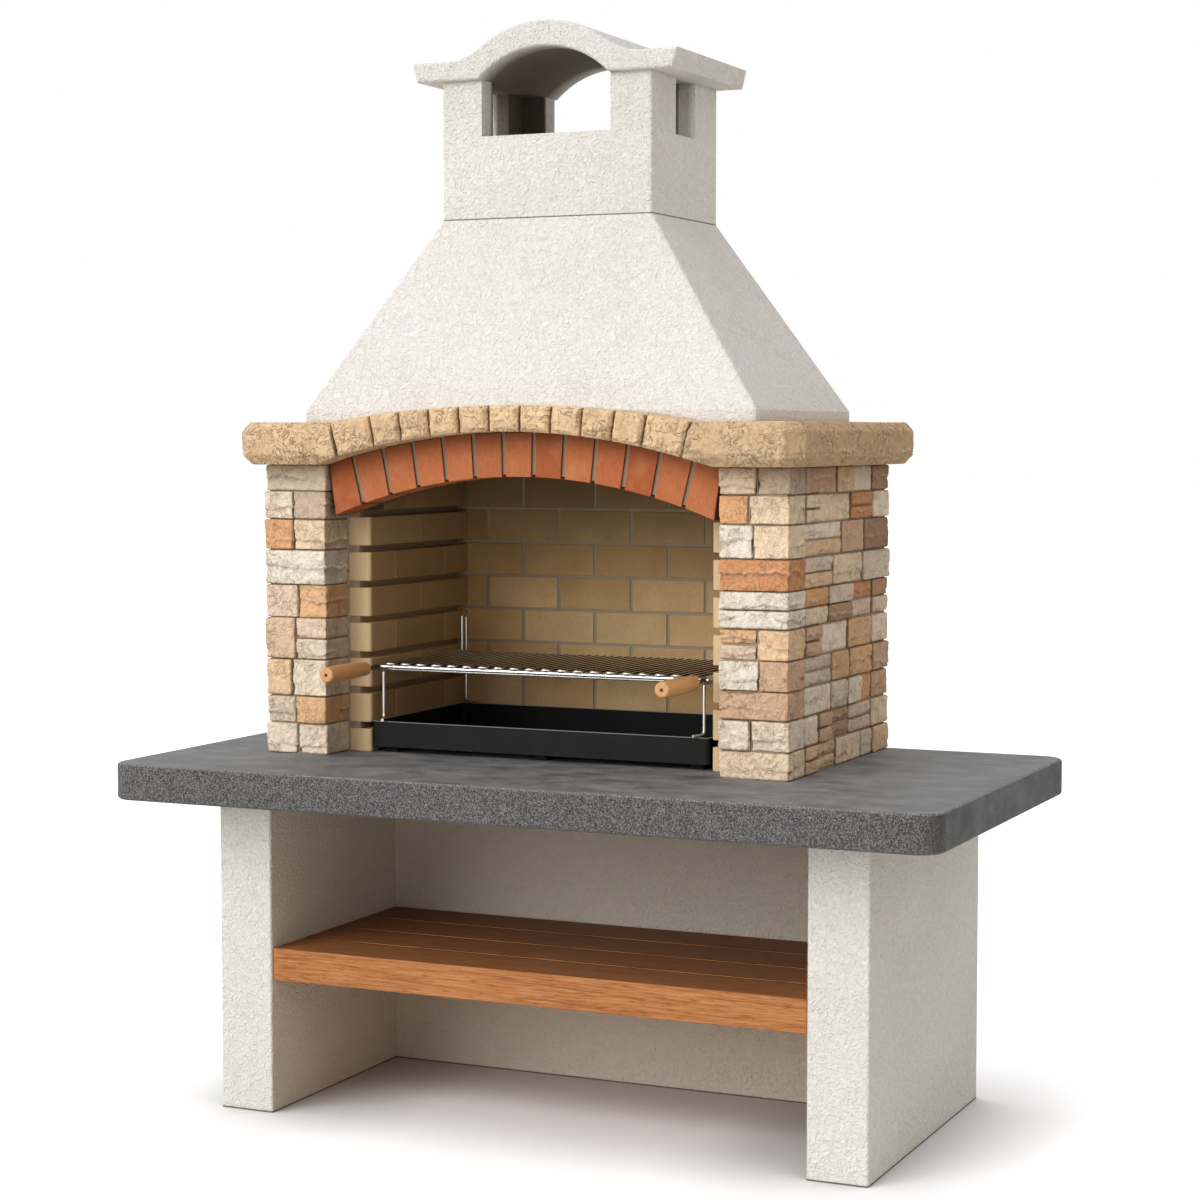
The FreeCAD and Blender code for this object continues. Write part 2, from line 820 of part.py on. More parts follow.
def stand_cross_wires():
    reach = stand_half - stand_wire / 2 - weld_gap
    wires = []
    for y in (stand_front + 2 * stand_bend, loop_front - 2 * stand_bend):
        start = Vector(unit_offset - reach, y, stand_rail_z)
        wires.append(Part.makeCylinder(stand_wire / 2, 2 * reach, start, Vector(1, 0, 0)))
    return wires


# Cooking grid: hairpin bars lie across a front and a rear rail
grid_half = half_chamber - grid_side_gap
hairpin_pitch = 2 * (grid_half - grid_end_margin) / grid_hairpins
grid_front = chamber_front + grid_front_step
grid_rear = loop_front - stand_wire / 2 - grid_rear_gap - grid_rail / 2
bar_z = rail_z + grid_rail / 2 + weld_gap + grid_bar / 2


def grid_rails():
    rails = []
    for y in (grid_front, grid_rear):
        start = Vector(unit_offset - grid_half, y, rail_z)
        rails.append(Part.makeCylinder(grid_rail / 2, 2 * grid_half, start, Vector(1, 0, 0)))
    return rails


def grid_hairpin(middle):
    bend = hairpin_pitch / 4
    nose = grid_front - grid_bar_overhang + bend
    tail = grid_rear + grid_bar_overhang
    left = unit_offset + middle - bend
    right = unit_offset + middle + bend
    start = Vector(left, tail, bar_z)
    path = [Part.LineSegment(start, Vector(left, nose, bar_z)),
            Part.Arc(Vector(left, nose, bar_z), Vector(unit_offset + middle, nose - bend, bar_z),
                     Vector(right, nose, bar_z)),
            Part.LineSegment(Vector(right, nose, bar_z), Vector(right, tail, bar_z))]
    profile = Part.Wire(Part.makeCircle(grid_bar / 2, start, Vector(0, 1, 0)))
    return Part.Wire([edge.toShape() for edge in path]).makePipeShell([profile], True, False)


def grid_hairpins_all():
    reach = hairpin_pitch * (grid_hairpins - 1) / 2
    return [grid_hairpin(middle) for middle in spread([1] * (grid_hairpins - 1), -reach, reach)]


# Handles: a steel rod off each end of the front rail, driven into a turned beech grip
rod_x = unit_offset + grid_half - rod_diameter
rod_start = grid_front - grid_rail / 2 - weld_gap
grip_start = rod_start - rod_visible


def handle_rod():
    rod = Part.makeCylinder(rod_diameter / 2, rod_visible + grip_bore_depth - weld_gap,
                            Vector(rod_x, rod_start, rail_z), Vector(0, -1, 0))
    collar_start = grip_start + collar_length + weld_gap
    collar = Part.makeCylinder(collar_diameter / 2, collar_length,
                               Vector(rod_x, collar_start, rail_z), Vector(0, -1, 0))
    return rod.fuse(collar).removeSplitter().Solids[0]


def handle_grip():
    # Turned on a lathe: a neck, a long swell and a rounded end, bored for the rod
    neck = grip_neck / 2
    swell = grip_diameter / 2
    nose = swell - grip_end_round

    def at(along, radius):
        return Vector(rod_x + radius, grip_start - along, rail_z)

    turn = math.radians(45)
    round_start = grip_length - grip_end_round
    outline = [
        Part.LineSegment(at(0, 0), at(0, neck)),
        Part.Arc(at(0, neck), at(grip_swell_place, swell), at(round_start, swell - grip_taper)),
        Part.Arc(at(round_start, swell - grip_taper),
                 at(round_start + grip_end_round * math.sin(turn),
                    nose + (grip_end_round - grip_taper) * math.cos(turn)),
                 at(grip_length, nose)),
        Part.LineSegment(at(grip_length, nose), at(grip_length, 0)),
        Part.LineSegment(at(grip_length, 0), at(0, 0))]
    face = Part.Face(Part.Wire([edge.toShape() for edge in outline]))
    grip = face.revolve(Vector(rod_x, grip_start, rail_z), Vector(0, 1, 0), 360)
    bore = Part.makeCylinder(rod_diameter / 2 + grip_bore_clearance / 2, grip_bore_depth,
                             Vector(rod_x, grip_start, rail_z), Vector(0, -1, 0))
    hole = Part.makeCylinder(grip_end_hole / 2, grip_end_hole_depth,
                             Vector(rod_x, grip_start - grip_length, rail_z), Vector(0, 1, 0))
    return grip.cut(bore).cut(hole)


os.makedirs("parts", exist_ok=True)
save("base_leg_left", [base_mirrored(base_leg())])
save("base_leg_right", [base_leg()])
save("base_rear_panel", [base_box(-leg_inner, leg_inner, panel_front, panel_rear, 0, slab_underside)])
for plank_number in range(plank_count):
    save("shelf_plank_" + str(plank_number + 1), [shelf_plank(plank_number)])
save("shelf_battens", [shelf_batten(-1), shelf_batten(1)])
pins = [shelf_pin(pin_y, pin_diameter) for pin_y in pin_places()]
save("shelf_pins", pins + [base_mirrored(pin) for pin in pins])
save("worktop_slab", [worktop_slab()])
save("wall_core_left", [mirrored(wall_core())])
save("wall_core_right", [wall_core()])
save("wall_core_rear", [rear_core()])
left_pier = pier_stones(left_pier_courses)
left_wall = side_stones(left_pier_courses, left_wall_start)
right_pier = pier_stones(right_pier_courses)
right_wall = side_stones(right_pier_courses, 0)
save("pier_stones_left", [mirrored(stone) for stone in left_pier])
save("pier_stones_right", right_pier)
save("pier_mortar_left", [mirrored(joint) for joint in pier_mortar(left_pier)])
save("pier_mortar_right", pier_mortar(right_pier))
save("side_stones_left", [mirrored(stone) for stone in left_wall])
save("side_stones_right", right_wall)
save("side_mortar_left", [mirrored(joint) for joint in side_mortar(left_wall)])
save("side_mortar_right", side_mortar(right_wall))
save("lining_bricks_left", [mirrored(brick) for brick in lining_bricks()])
save("lining_bricks_right", lining_bricks())
save("lining_mortar_left", [mirrored(strip) for strip in lining_mortar()])
save("lining_mortar_right", lining_mortar())
save("rear_bricks", rear_bricks())
save("rear_mortar", rear_mortar(rear_bricks()))
save("arch_bricks", arch_bricks())
save("arch_mortar", arch_mortar())
save("arch_lintel", [arch_lintel()])
save("mantel_arch_stones", mantel_arch_stones())
save("mantel_corner_left", [mirrored(mantel_corner())])
save("mantel_corner_right", [mantel_corner()])
save("mantel_rear_beam", [mantel_rear_beam()])
save("smoke_hood", [smoke_hood()])
save("chimney_block", [chimney_block()])
save("chimney_crown_posts", crown_posts())
save("chimney_cap", [chimney_cap()])
save("charcoal_tray", [charcoal_tray()])
save("tray_feet", tray_feet())
save("stand_frame_left", [mirrored(stand_frame())])
save("stand_frame_right", [stand_frame()])
save("stand_cross_wires", stand_cross_wires())
save("grid_rails", grid_rails())
save("grid_bars", grid_hairpins_all())
save("handle_rods", [mirrored(handle_rod()), handle_rod()])
save("handle_grip_left", [mirrored(handle_grip())])
save("handle_grip_right", [handle_grip()])
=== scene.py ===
# %% [markdown]
# # A stone barbecue fireplace, piece by piece
# The real object is built like a small house: rendered concrete below and above, hewn stone and brick
# between, and fire gear of enamel, wire and beech in its chamber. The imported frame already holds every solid
# in its place, in metres. This lesson leaves those solids where they are and gives each one the surface that
# the eye expects.

# %% Load the frame
import math

import bmesh
import bpy
import numpy as np
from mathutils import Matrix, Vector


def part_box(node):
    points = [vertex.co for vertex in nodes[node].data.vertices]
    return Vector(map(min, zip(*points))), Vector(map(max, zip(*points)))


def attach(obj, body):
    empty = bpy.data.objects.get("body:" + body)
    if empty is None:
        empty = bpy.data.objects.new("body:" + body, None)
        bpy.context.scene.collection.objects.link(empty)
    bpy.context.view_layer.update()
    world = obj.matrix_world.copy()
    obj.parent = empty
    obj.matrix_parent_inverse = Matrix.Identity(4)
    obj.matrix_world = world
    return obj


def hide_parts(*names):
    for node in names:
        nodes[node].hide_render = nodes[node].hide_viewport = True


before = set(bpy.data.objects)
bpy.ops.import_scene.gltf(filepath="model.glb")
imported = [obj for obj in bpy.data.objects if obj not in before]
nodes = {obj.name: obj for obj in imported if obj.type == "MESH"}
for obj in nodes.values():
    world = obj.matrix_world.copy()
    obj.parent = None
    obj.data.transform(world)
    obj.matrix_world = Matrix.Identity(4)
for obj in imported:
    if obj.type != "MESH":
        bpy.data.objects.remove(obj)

scene = bpy.context.scene
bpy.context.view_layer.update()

# %% [markdown]
# ## The camera
# The view is from the right of the front, a little above the worktop, with a long lens from far off, so
# upright edges stay nearly upright. The place and the lens could be set by eye. Here they were fitted to the
# corners of the slab, the legs and the cap, whose real places the frame gives.

# %% Camera
camera = bpy.data.objects.new("camera", bpy.data.cameras.new("camera"))
scene.collection.objects.link(camera)
camera.location = (2.1491, -4.7120, 1.3778)
camera.rotation_euler = (math.radians(86.32), 0, math.radians(24.42))
camera.data.sensor_width = 36
camera.data.lens = 77.35
scene.camera = camera
print("camera: lens", round(camera.data.lens, 2), "mm")

# %% [markdown]
# ## Tools for every finish
# A paint chip is read in sRGB, but a shader works in linear light, so one function turns a hex code into a
# linear colour. Another adds a shader node: its settings first, then its sockets, which are linked where the
# value is another node and set where it is a plain number or colour. Patterns take object coordinates in
# metres, so a pattern of a known size in millimetres has a scale of 1000 over that size.

# %% Colour and node tools
def linear(code):
    channels = [int(code[start:start + 2], 16) / 255 for start in (0, 2, 4)]
    return [c / 12.92 if c <= 0.04045 else ((c + 0.055) / 1.055) ** 2.4 for c in channels] + [1]


def add(tree, kind, inputs=(), **settings):
    node = tree.nodes.new("ShaderNode" + kind)
    for name, value in settings.items():
        setattr(node, name, value)
    for socket, value in dict(inputs).items():
        if isinstance(value, bpy.types.Node):
            value = next(output for output in value.outputs if output.enabled)
        if isinstance(value, bpy.types.NodeSocket):
            tree.links.new(value, node.inputs[socket])
        else:
            node.inputs[socket].default_value = value
    return node


print("white is", [round(c, 3) for c in linear("FFFFFF")])

# %% [markdown]
# ## The studio
# The photograph has a white ground, one soft light from the front left and a weak warm one from the right.
# Flat light from all round would fill the bay under the worktop, so here the sky is brightest overhead and
# dim along the horizon, as under a studio ceiling, and two broad suns do the rest. A sun gives the same light
# at any distance, so the floor stays one white. To the camera and to mirrors the world is plain white.

# %% Suns
def sun(name, tilt, turn, width, energy, code):
    lamp = bpy.data.objects.new(name, bpy.data.lights.new(name, "SUN"))
    scene.collection.objects.link(lamp)
    lamp.rotation_euler = (math.radians(tilt), 0, math.radians(turn))
    lamp.data.angle = math.radians(width)
    lamp.data.energy = energy
    lamp.data.color = linear(code)[:3]
    print(name, "light of", energy, "at", width, "degrees across")


sun("key", 66, -28, 44, 1.90, "FFFFFF")
sun("fill", 76, 64, 60, 0.34, "FFE6C4")
scene.view_settings.view_transform = "Standard"

# %% Sky
def seen_directly(tree):
    # 1 for what the camera sees, straight or in a mirror or glass, and 0 for light that falls on the object
    ray = add(tree, "LightPath").outputs
    seen = add(tree, "Math", {0: ray["Is Camera Ray"], 1: ray["Is Glossy Ray"]}, operation="ADD")
    return add(tree, "Math", {0: seen, 1: ray["Is Transmission Ray"]}, operation="ADD", use_clamp=True)


world = bpy.data.worlds.new("studio")
scene.world = world
world.use_nodes = True
sky = world.node_tree
sky.nodes.clear()
horizon_level, upper_level, zenith_level = 0.28, 0.62, 0.65
up = add(sky, "SeparateXYZ", {0: add(sky, "TexCoord").outputs["Generated"]}).outputs["Z"]
slope = add(sky, "MapRange", {"Value": up, "To Min": horizon_level, "To Max": upper_level})
above = add(sky, "Math", {0: up, 1: 0.0}, operation="MAXIMUM")
zenith = add(sky, "Math", {0: above, 1: 4.0}, operation="POWER")
ceiling = add(sky, "Math", {0: zenith, 1: zenith_level, 2: slope}, operation="MULTIPLY_ADD")
seen = seen_directly(sky)
level = add(sky, "MapRange", {"Value": seen, "To Min": ceiling, "To Max": 1.0})
tone = add(sky, "Mix", {0: seen, 6: linear("FDFDFF"), 7: linear("FFFFFF")}, data_type="RGBA")
backdrop = add(sky, "Background", {"Color": tone, "Strength": level})
add(sky, "OutputWorld", {"Surface": backdrop})
print("sky from", horizon_level, "at the horizon to", upper_level + zenith_level, "overhead")

# %% [markdown]
# ## The floor
# The floor is white paper to the camera and darker to other rays, so that it throws little light up at the
# object. A paper floor at this light would come out grey, so it also glows a little where it is open to the
# sky. Near the object and in the bay it sees less sky: there it glows less and is darker, which keeps the
# soft shadow.

# %% Floor
def new_finish(name):
    material = bpy.data.materials.new(name)
    material.use_nodes = True
    material.node_tree.nodes.clear()
    return material, material.node_tree, add(material.node_tree, "TexCoord").outputs["Object"]


def surface(tree, inputs):
    shader = add(tree, "BsdfPrincipled", inputs)
    add(tree, "OutputMaterial", {"Surface": shader})
    return shader


reach = 60
floor_mesh = bpy.data.meshes.new("studio_floor")
floor_mesh.from_pydata([(-reach, -reach, 0), (reach, -reach, 0), (reach, reach, 0), (-reach, reach, 0)],
                       [], [(0, 1, 2, 3)])
floor = bpy.data.objects.new("studio_floor", floor_mesh)
scene.collection.objects.link(floor)
paper, tree = new_finish("white_paper_floor")[:2]
seen = seen_directly(tree)
tone = add(tree, "Mix", {0: seen, 6: linear("DCD7CE"), 7: linear("FAFAFA")}, data_type="RGBA")
open_sky = add(tree, "AmbientOcclusion", {"Distance": 0.32}, samples=8).outputs["AO"]
dusk = add(tree, "MapRange", {"Value": open_sky, "From Min": 0.2, "From Max": 0.75,
                              "To Min": 0.5, "To Max": 1.0})
tone = add(tree, "VectorMath", {0: tone, 1: dusk}, operation="MULTIPLY")
glow = add(tree, "Math", {0: open_sky, 1: 4.0}, operation="POWER")
glow = add(tree, "Math", {0: seen, 1: glow}, operation="MULTIPLY")
glow = add(tree, "MapRange", {"Value": glow, "To Max": 0.40})
surface(tree, {"Base Color": tone, "Roughness": 1.0, "Specular IOR Level": 0.0,
               "Emission Color": linear("FFFFFF"), "Emission Strength": glow})
floor_mesh.materials.append(paper)
print("floor:", 2 * reach, "m wide")

# %% [markdown]
# ## White render
# The legs, the rear panel, the hood, the chimney and its cap are cast in concrete and sprayed with a white
# cement render. Up close it is crumbs of about ten millimetres with a stipple of four-millimetre grains on
# them, and a few grey pits where sand shows through. The relief is only a few millimetres deep, so bump
# carries it, and the cast edges are already rounded. Painted shade darkens the low parts of the crumbs, the
# corners and the places where parts meet. One function makes the render, a shade paler or darker for each
# part as painted light, and each part adds its own marks: painted warm shade in the log bay, a painted shadow
# at the feet, a dark bed joint under the chimney, and soot where the smoke leaves, partly painted shade.

# %% Render finish
grain_size, crumb_size, cloud_size = 4, 10, 260


def vary(tree, colour, pattern, low, high):
    # Noise mostly lies between 0.3 and 0.7, which becomes a level from low to high that multiplies the colour
    level = add(tree, "MapRange", {"Value": pattern, "From Min": 0.3, "From Max": 0.7,
                                   "To Min": low, "To Max": high})
    return add(tree, "VectorMath", {0: colour, 1: level}, operation="MULTIPLY")


def cement_render(name, tone_and_painted_light):
    material, tree, place = new_finish(name)
    stipple = add(tree, "TexNoise", {"Vector": place, "Scale": 1000 / grain_size, "Detail": 3.0,
                                     "Roughness": 0.6})
    crumbs = add(tree, "TexNoise", {"Vector": place, "Scale": 1000 / crumb_size, "Detail": 2.0,
                                    "Distortion": 1.4})
    cloud = add(tree, "TexNoise", {"Vector": place, "Scale": 1000 / cloud_size, "Detail": 2.0})
    patch = add(tree, "MapRange", {"Value": cloud, "From Min": 0.35, "From Max": 0.65})
    colour = add(tree, "Mix", {0: patch, 6: linear("F3F0EA"), 7: linear("F8F6F2")}, data_type="RGBA")
    pit = add(tree, "MapRange", {"Value": stipple, "From Min": 0.27, "From Max": 0.38,
                                 "To Min": 0.5, "To Max": 0.0})
    colour = add(tree, "Mix", {0: pit, 6: colour, 7: linear("B9B0A2")}, data_type="RGBA")
    colour = vary(tree, colour, stipple, 0.96, 1.03)
    # Painted shade and light: the crumbs darken in their low parts, and each part's render is made a shade
    # paler or darker
    colour = vary(tree, colour, crumbs, 0.92 * tone_and_painted_light, 1.065 * tone_and_painted_light)
    # Painted shade: where AO finds surfaces close by, in corners and where parts meet, the render darkens
    # toward brown, as contact shadow
    corner = add(tree, "AmbientOcclusion", {"Distance": 0.02}, samples=4).outputs["AO"]
    corner = add(tree, "MapRange", {"Value": corner, "From Min": 0.2, "From Max": 0.6,
                                    "To Min": 0.6, "To Max": 0.0})
    colour = add(tree, "Mix", {0: corner, 6: colour, 7: linear("6F6455")}, data_type="RGBA")
    height = add(tree, "Math", {0: crumbs, 1: 1.6, 2: stipple}, operation="MULTIPLY_ADD")
    bump = add(tree, "Bump", {"Height": height, "Strength": 0.9, "Distance": 0.0045})
    shader = surface(tree, {"Roughness": 0.92, "Specular IOR Level": 0.25, "Normal": bump})
    return material, tree, place, colour, shader


print("render of", crumb_size, "mm crumbs and", grain_size, "mm grains")

# %% Base: painted warm shade inside the bay and a painted shadow at the feet
def dirt_and_painted_shade(tree, shader, colour, amount, code):
    # Mixes a darker colour into the render by a mask, for painted shade, a dark joint and soot
    mixed = add(tree, "Mix", {0: amount, 6: colour, 7: linear(code)}, data_type="RGBA")
    tree.links.new(next(output for output in mixed.outputs if output.enabled), shader.inputs["Base Color"])


def between(tree, value, low, high, soft):
    # 1 well inside two limits, falling to 0 at them
    rise = add(tree, "MapRange", {"Value": value, "From Min": low, "From Max": low + soft})
    fall = add(tree, "MapRange", {"Value": value, "From Min": high - soft, "From Max": high,
                                  "To Min": 1.0, "To Max": 0.0})
    return add(tree, "Math", {0: rise, 1: fall}, operation="MINIMUM")


def dress(material, *names):
    for name in names:
        nodes[name].data.materials.clear()
        nodes[name].data.materials.append(material)
    print(material.name, "on", ", ".join(names))


base_render, tree, place, colour, shader = cement_render("sprayed_cement_render_base", 1.02)
panel_low, panel_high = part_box("base_rear_panel")
leg_reach, bay_shade_edge, foot_shadow_height = 0.004, 0.003, 0.003
bay_shade_end = panel_high[1] - bay_shade_edge
spot = add(tree, "SeparateXYZ", {0: place}).outputs
bay_painted_shade = between(tree, spot["X"], panel_low[0] - leg_reach, panel_high[0] + leg_reach, bay_shade_edge)
before_back = add(tree, "MapRange", {"Value": spot["Y"], "From Min": bay_shade_end - bay_shade_edge,
                                     "From Max": bay_shade_end, "To Min": 0.7, "To Max": 0.0})
bay_painted_shade = add(tree, "Math", {0: bay_painted_shade, 1: before_back}, operation="MULTIPLY")
# Painted shade: inside the bay the render turns darker and warmer, fading out at the panel's back face
colour = add(tree, "Mix", {0: bay_painted_shade, 6: colour, 7: linear("E8DAC4")}, data_type="RGBA")
# Painted shadow: a dark line along the feet of the legs and the panel, where they stand on the floor
foot_shadow = add(tree, "Math", {0: spot["Z"], 1: 0.0, 2: foot_shadow_height}, operation="COMPARE")
dirt_and_painted_shade(tree, shader, colour, foot_shadow, "7A7166")
dress(base_render, "base_leg_left", "base_leg_right", "base_rear_panel")

# %% Hood and chimney: the dark bed joint
hood_render, tree, place, colour, shader = cement_render("sprayed_cement_render_hood", 0.99)
half_joint = 0.0014
level = add(tree, "SeparateXYZ", {0: place}).outputs["Z"]
at_joint = add(tree, "Math", {0: level, 1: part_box("chimney_block")[0][2], 2: half_joint}, operation="COMPARE")
dirt_and_painted_shade(tree, shader, colour, at_joint, "8F887D")
dress(hood_render, "smoke_hood", "chimney_block")

# %% Crown and cap: where the smoke leaves
def facing(tree):
    # The direction that the surface faces, as X, Y and Z from -1 to 1
    return add(tree, "SeparateXYZ", {0: add(tree, "NewGeometry").outputs["Normal"]}).outputs


crown_render, tree, place, colour, shader = cement_render("sprayed_cement_render_crown", 0.95)
post_low, post_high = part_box("chimney_crown_posts")
cap_low, cap_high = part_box("chimney_cap")
spot = add(tree, "SeparateXYZ", {0: place}).outputs
upward = facing(tree)["Z"]
flue_side, flue_front = 0.03, 0.038
inside = add(tree, "Math", {
    0: between(tree, spot["X"], post_low[0] + flue_side, post_high[0] - flue_side, 0.008),
    1: between(tree, spot["Y"], post_low[1] + flue_front, post_high[1] - flue_front, 0.01)},
    operation="MINIMUM")
vault_half = 0.17
vault_middle = (post_low[0] + post_high[0]) / 2
soffit = add(tree, "MapRange", {"Value": upward, "From Min": -0.3, "From Max": -0.1,
                                "To Min": 1.0, "To Max": 0.0})
vault = add(tree, "Math", {
    0: between(tree, spot["X"], vault_middle - vault_half, vault_middle + vault_half, 0.02),
    1: between(tree, spot["Y"], cap_low[1], cap_high[1], 0.06)}, operation="MINIMUM")
vault = add(tree, "Math", {0: vault, 1: soffit}, operation="MINIMUM")
window_half = 0.052
window_middle = (post_low[1] + post_high[1]) / 2
jamb = add(tree, "Math", {
    0: between(tree, spot["X"], post_low[0] + 0.004, post_high[0] - 0.004, 0.012),
    1: between(tree, spot["Y"], window_middle - window_half, window_middle + window_half, 0.001)},
    operation="MINIMUM")
# Painted shade: the jambs of the side windows darken more toward the left
leftward_shade = add(tree, "MapRange", {"Value": spot["X"], "From Min": post_low[0], "From Max": post_high[0],
                             "To Min": 0.95, "To Max": 0.5})
jamb = add(tree, "Math", {0: jamb, 1: leftward_shade}, operation="MULTIPLY")
print("crown: vault", 2 * vault_half, "m wide, side windows", 2 * window_half, "m wide")

# %% Crown and cap: soot, partly painted shade, but none on the roof
# Soot inside the crown, on the jambs and under the vault, also stands in for the shade there
smoke_and_painted_shade = add(tree, "Math", {0: inside, 1: vault}, operation="MAXIMUM")
smoke_and_painted_shade = add(tree, "Math", {0: smoke_and_painted_shade, 1: jamb}, operation="MAXIMUM")
not_roof = add(tree, "MapRange", {"Value": upward, "From Min": 0.05, "From Max": 0.3,
                                  "To Min": 0.88, "To Max": 0.0})
smoke_and_painted_shade = add(tree, "Math", {0: smoke_and_painted_shade, 1: not_roof}, operation="MULTIPLY")
dirt_and_painted_shade(tree, shader, colour, smoke_and_painted_shade, "5C4A32")
dress(crown_render, "chimney_crown_posts", "chimney_cap")

# %% [markdown]
# ## The worktop slab
# The slab is cast dark concrete. Its top was trowelled, which leaves cloudy strokes along its length. Its
# front came out of a stippled mould and shows pale grit of two to three millimetres, its ends are smoother
# and darker, and the arris above them is worn pale. One material can do all of this, because the direction
# that a surface faces tells top, front, end and arris apart.

# %% Slab finish
def stretched(tree, place, sizes):
    # The place, measured in a pattern's own sizes: millimetres along X, Y and Z
    return add(tree, "VectorMath", {0: place, 1: [1000 / size for size in sizes]}, operation="MULTIPLY")


slab, tree, place = new_finish("dark_cast_concrete")
turned = facing(tree)
top = add(tree, "MapRange", {"Value": turned["Z"], "From Min": 0.93, "From Max": 0.995})
arris_low = add(tree, "MapRange", {"Value": turned["Z"], "From Min": 0.45, "From Max": 0.75})
arris = add(tree, "Math", {0: arris_low, 1: top}, operation="SUBTRACT", use_clamp=True)
grit = add(tree, "TexNoise", {"Vector": place, "Scale": 1000 / 2.3, "Detail": 3.0, "Roughness": 0.75})
grit_pale = add(tree, "MapRange", {"Value": grit, "From Min": 0.46, "From Max": 0.58})
edge_colour = add(tree, "Mix", {0: grit_pale, 6: linear("252525"), 7: linear("828181")}, data_type="RGBA")
sideways = add(tree, "Math", {0: turned["X"]}, operation="ABSOLUTE")
smooth_end = add(tree, "MapRange", {"Value": sideways, "From Min": 0.5, "From Max": 0.95, "To Max": 0.8})
edge_colour = add(tree, "Mix", {0: smooth_end, 6: edge_colour, 7: linear("313131")}, data_type="RGBA")
stroke_place = stretched(tree, place, (110, 60, 60))
stroke = add(tree, "TexNoise", {"Vector": stroke_place, "Scale": 1.0, "Detail": 4.0, "Roughness": 0.65})
haze = add(tree, "TexNoise", {"Vector": place, "Scale": 1000 / 90, "Detail": 6.0, "Roughness": 0.78})
strokes = add(tree, "Math", {0: stroke, 1: haze}, operation="ADD")
trowelled = add(tree, "MapRange", {"Value": strokes, "From Min": 0.80, "From Max": 1.20})
top_colour = add(tree, "Mix", {0: trowelled, 6: linear("565758"), 7: linear("848585")}, data_type="RGBA")
colour = add(tree, "Mix", {0: top, 6: edge_colour, 7: top_colour}, data_type="RGBA")
worn = add(tree, "Math", {0: arris, 1: grit_pale}, operation="MULTIPLY")
colour = add(tree, "Mix", {0: worn, 6: colour, 7: linear("A9A8A4")}, data_type="RGBA")
rough = add(tree, "MapRange", {"Value": trowelled, "To Min": 0.55, "To Max": 0.75})
depth = add(tree, "MapRange", {"Value": top, "To Min": 0.7, "To Max": 0.12})
bump = add(tree, "Bump", {"Height": grit, "Strength": depth, "Distance": 0.003})
surface(tree, {"Base Color": colour, "Roughness": rough, "Normal": bump})
dress(slab, "worktop_slab")

# %% [markdown]
# ## The log shelf
# Four thick softwood planks are stained orange brown. Sawn along the trunk, they show long bands of early and
# late wood, a hand's length and more, with fine fibres and short dark pores along the grain. Noise that is
# stretched along X gives all three. The tops are darkened as painted shade, most at the rear of the bay, and
# the gaps between the planks are drawn dark as painted shade.

# %% Shelf grain
wood, tree, place = new_finish("stained_softwood")
ring_sizes, fibre_sizes, pore_sizes = (700, 60, 60), (90, 3, 3), (26, 2.4, 2.4)
ring_place = stretched(tree, place, ring_sizes)
ring_noise = add(tree, "TexNoise", {"Vector": ring_place, "Scale": 1.0, "Detail": 2.0, "Distortion": 0.6})
ring_count = add(tree, "Math", {0: ring_noise, 1: 11.0}, operation="MULTIPLY")
ring = add(tree, "Math", {0: ring_count, 1: 1.0}, operation="PINGPONG")
fibre_place = stretched(tree, place, fibre_sizes)
fibre = add(tree, "TexNoise", {"Vector": fibre_place, "Scale": 1.0, "Detail": 3.0, "Roughness": 0.6})
pore_place = stretched(tree, place, pore_sizes)
pore = add(tree, "TexNoise", {"Vector": pore_place, "Scale": 1.0, "Detail": 2.0})
bands = add(tree, "Mix", {0: ring, 6: linear("B67240"), 7: linear("995B2F")}, data_type="RGBA")
streak = add(tree, "MapRange", {"Value": fibre, "From Min": 0.35, "From Max": 0.7})
colour = add(tree, "Mix", {0: streak, 6: bands, 7: linear("CB905E")}, data_type="RGBA")
pore = add(tree, "MapRange", {"Value": pore, "From Min": 0.56, "From Max": 0.68, "To Max": 0.5})
colour = add(tree, "Mix", {0: pore, 6: colour, 7: linear("6B3B1C")}, data_type="RGBA")
print(wood.name, "with fibres", fibre_sizes[1], "mm and pores", pore_sizes[1], "mm wide")

# %% Shelf: painted shade on the tops and in the gaps
on_top = add(tree, "MapRange", {"Value": facing(tree)["Z"], "From Min": 0.9, "From Max": 0.99})
shelf_front, shelf_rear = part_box("shelf_plank_1")[0][1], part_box("shelf_plank_4")[1][1]
depth = add(tree, "SeparateXYZ", {0: place}).outputs["Y"]
# Painted shade: the tops darken from the front plank to the rear one
shelf_top_shade = add(tree, "MapRange", {"Value": depth, "From Min": shelf_front, "From Max": shelf_rear,
                                "To Min": 0.3, "To Max": 0.75})
shelf_top_shade = add(tree, "Math", {0: shelf_top_shade, 1: on_top}, operation="MULTIPLY")
colour = add(tree, "Mix", {0: shelf_top_shade, 6: colour, 7: linear("5F3217")}, data_type="RGBA")
for number in (1, 2, 3):
    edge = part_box("shelf_plank_%d" % number)[1][1]
    away = add(tree, "Math", {0: depth, 1: edge}, operation="SUBTRACT")
    away = add(tree, "Math", {0: away}, operation="ABSOLUTE")
    # Painted shade: a dark strip over the gap behind this plank
    gap_shade = add(tree, "MapRange", {"Value": away, "From Min": 0.002, "From Max": 0.011,
                                 "To Min": 0.85, "To Max": 0.0})
    gap_shade = add(tree, "Math", {0: gap_shade, 1: on_top}, operation="MULTIPLY")
    colour = add(tree, "Mix", {0: gap_shade, 6: colour, 7: linear("241208")}, data_type="RGBA")
grain = add(tree, "Math", {0: ring, 1: 0.5, 2: fibre}, operation="MULTIPLY_ADD")
bump = add(tree, "Bump", {"Height": grain, "Strength": 0.35, "Distance": 0.0015})
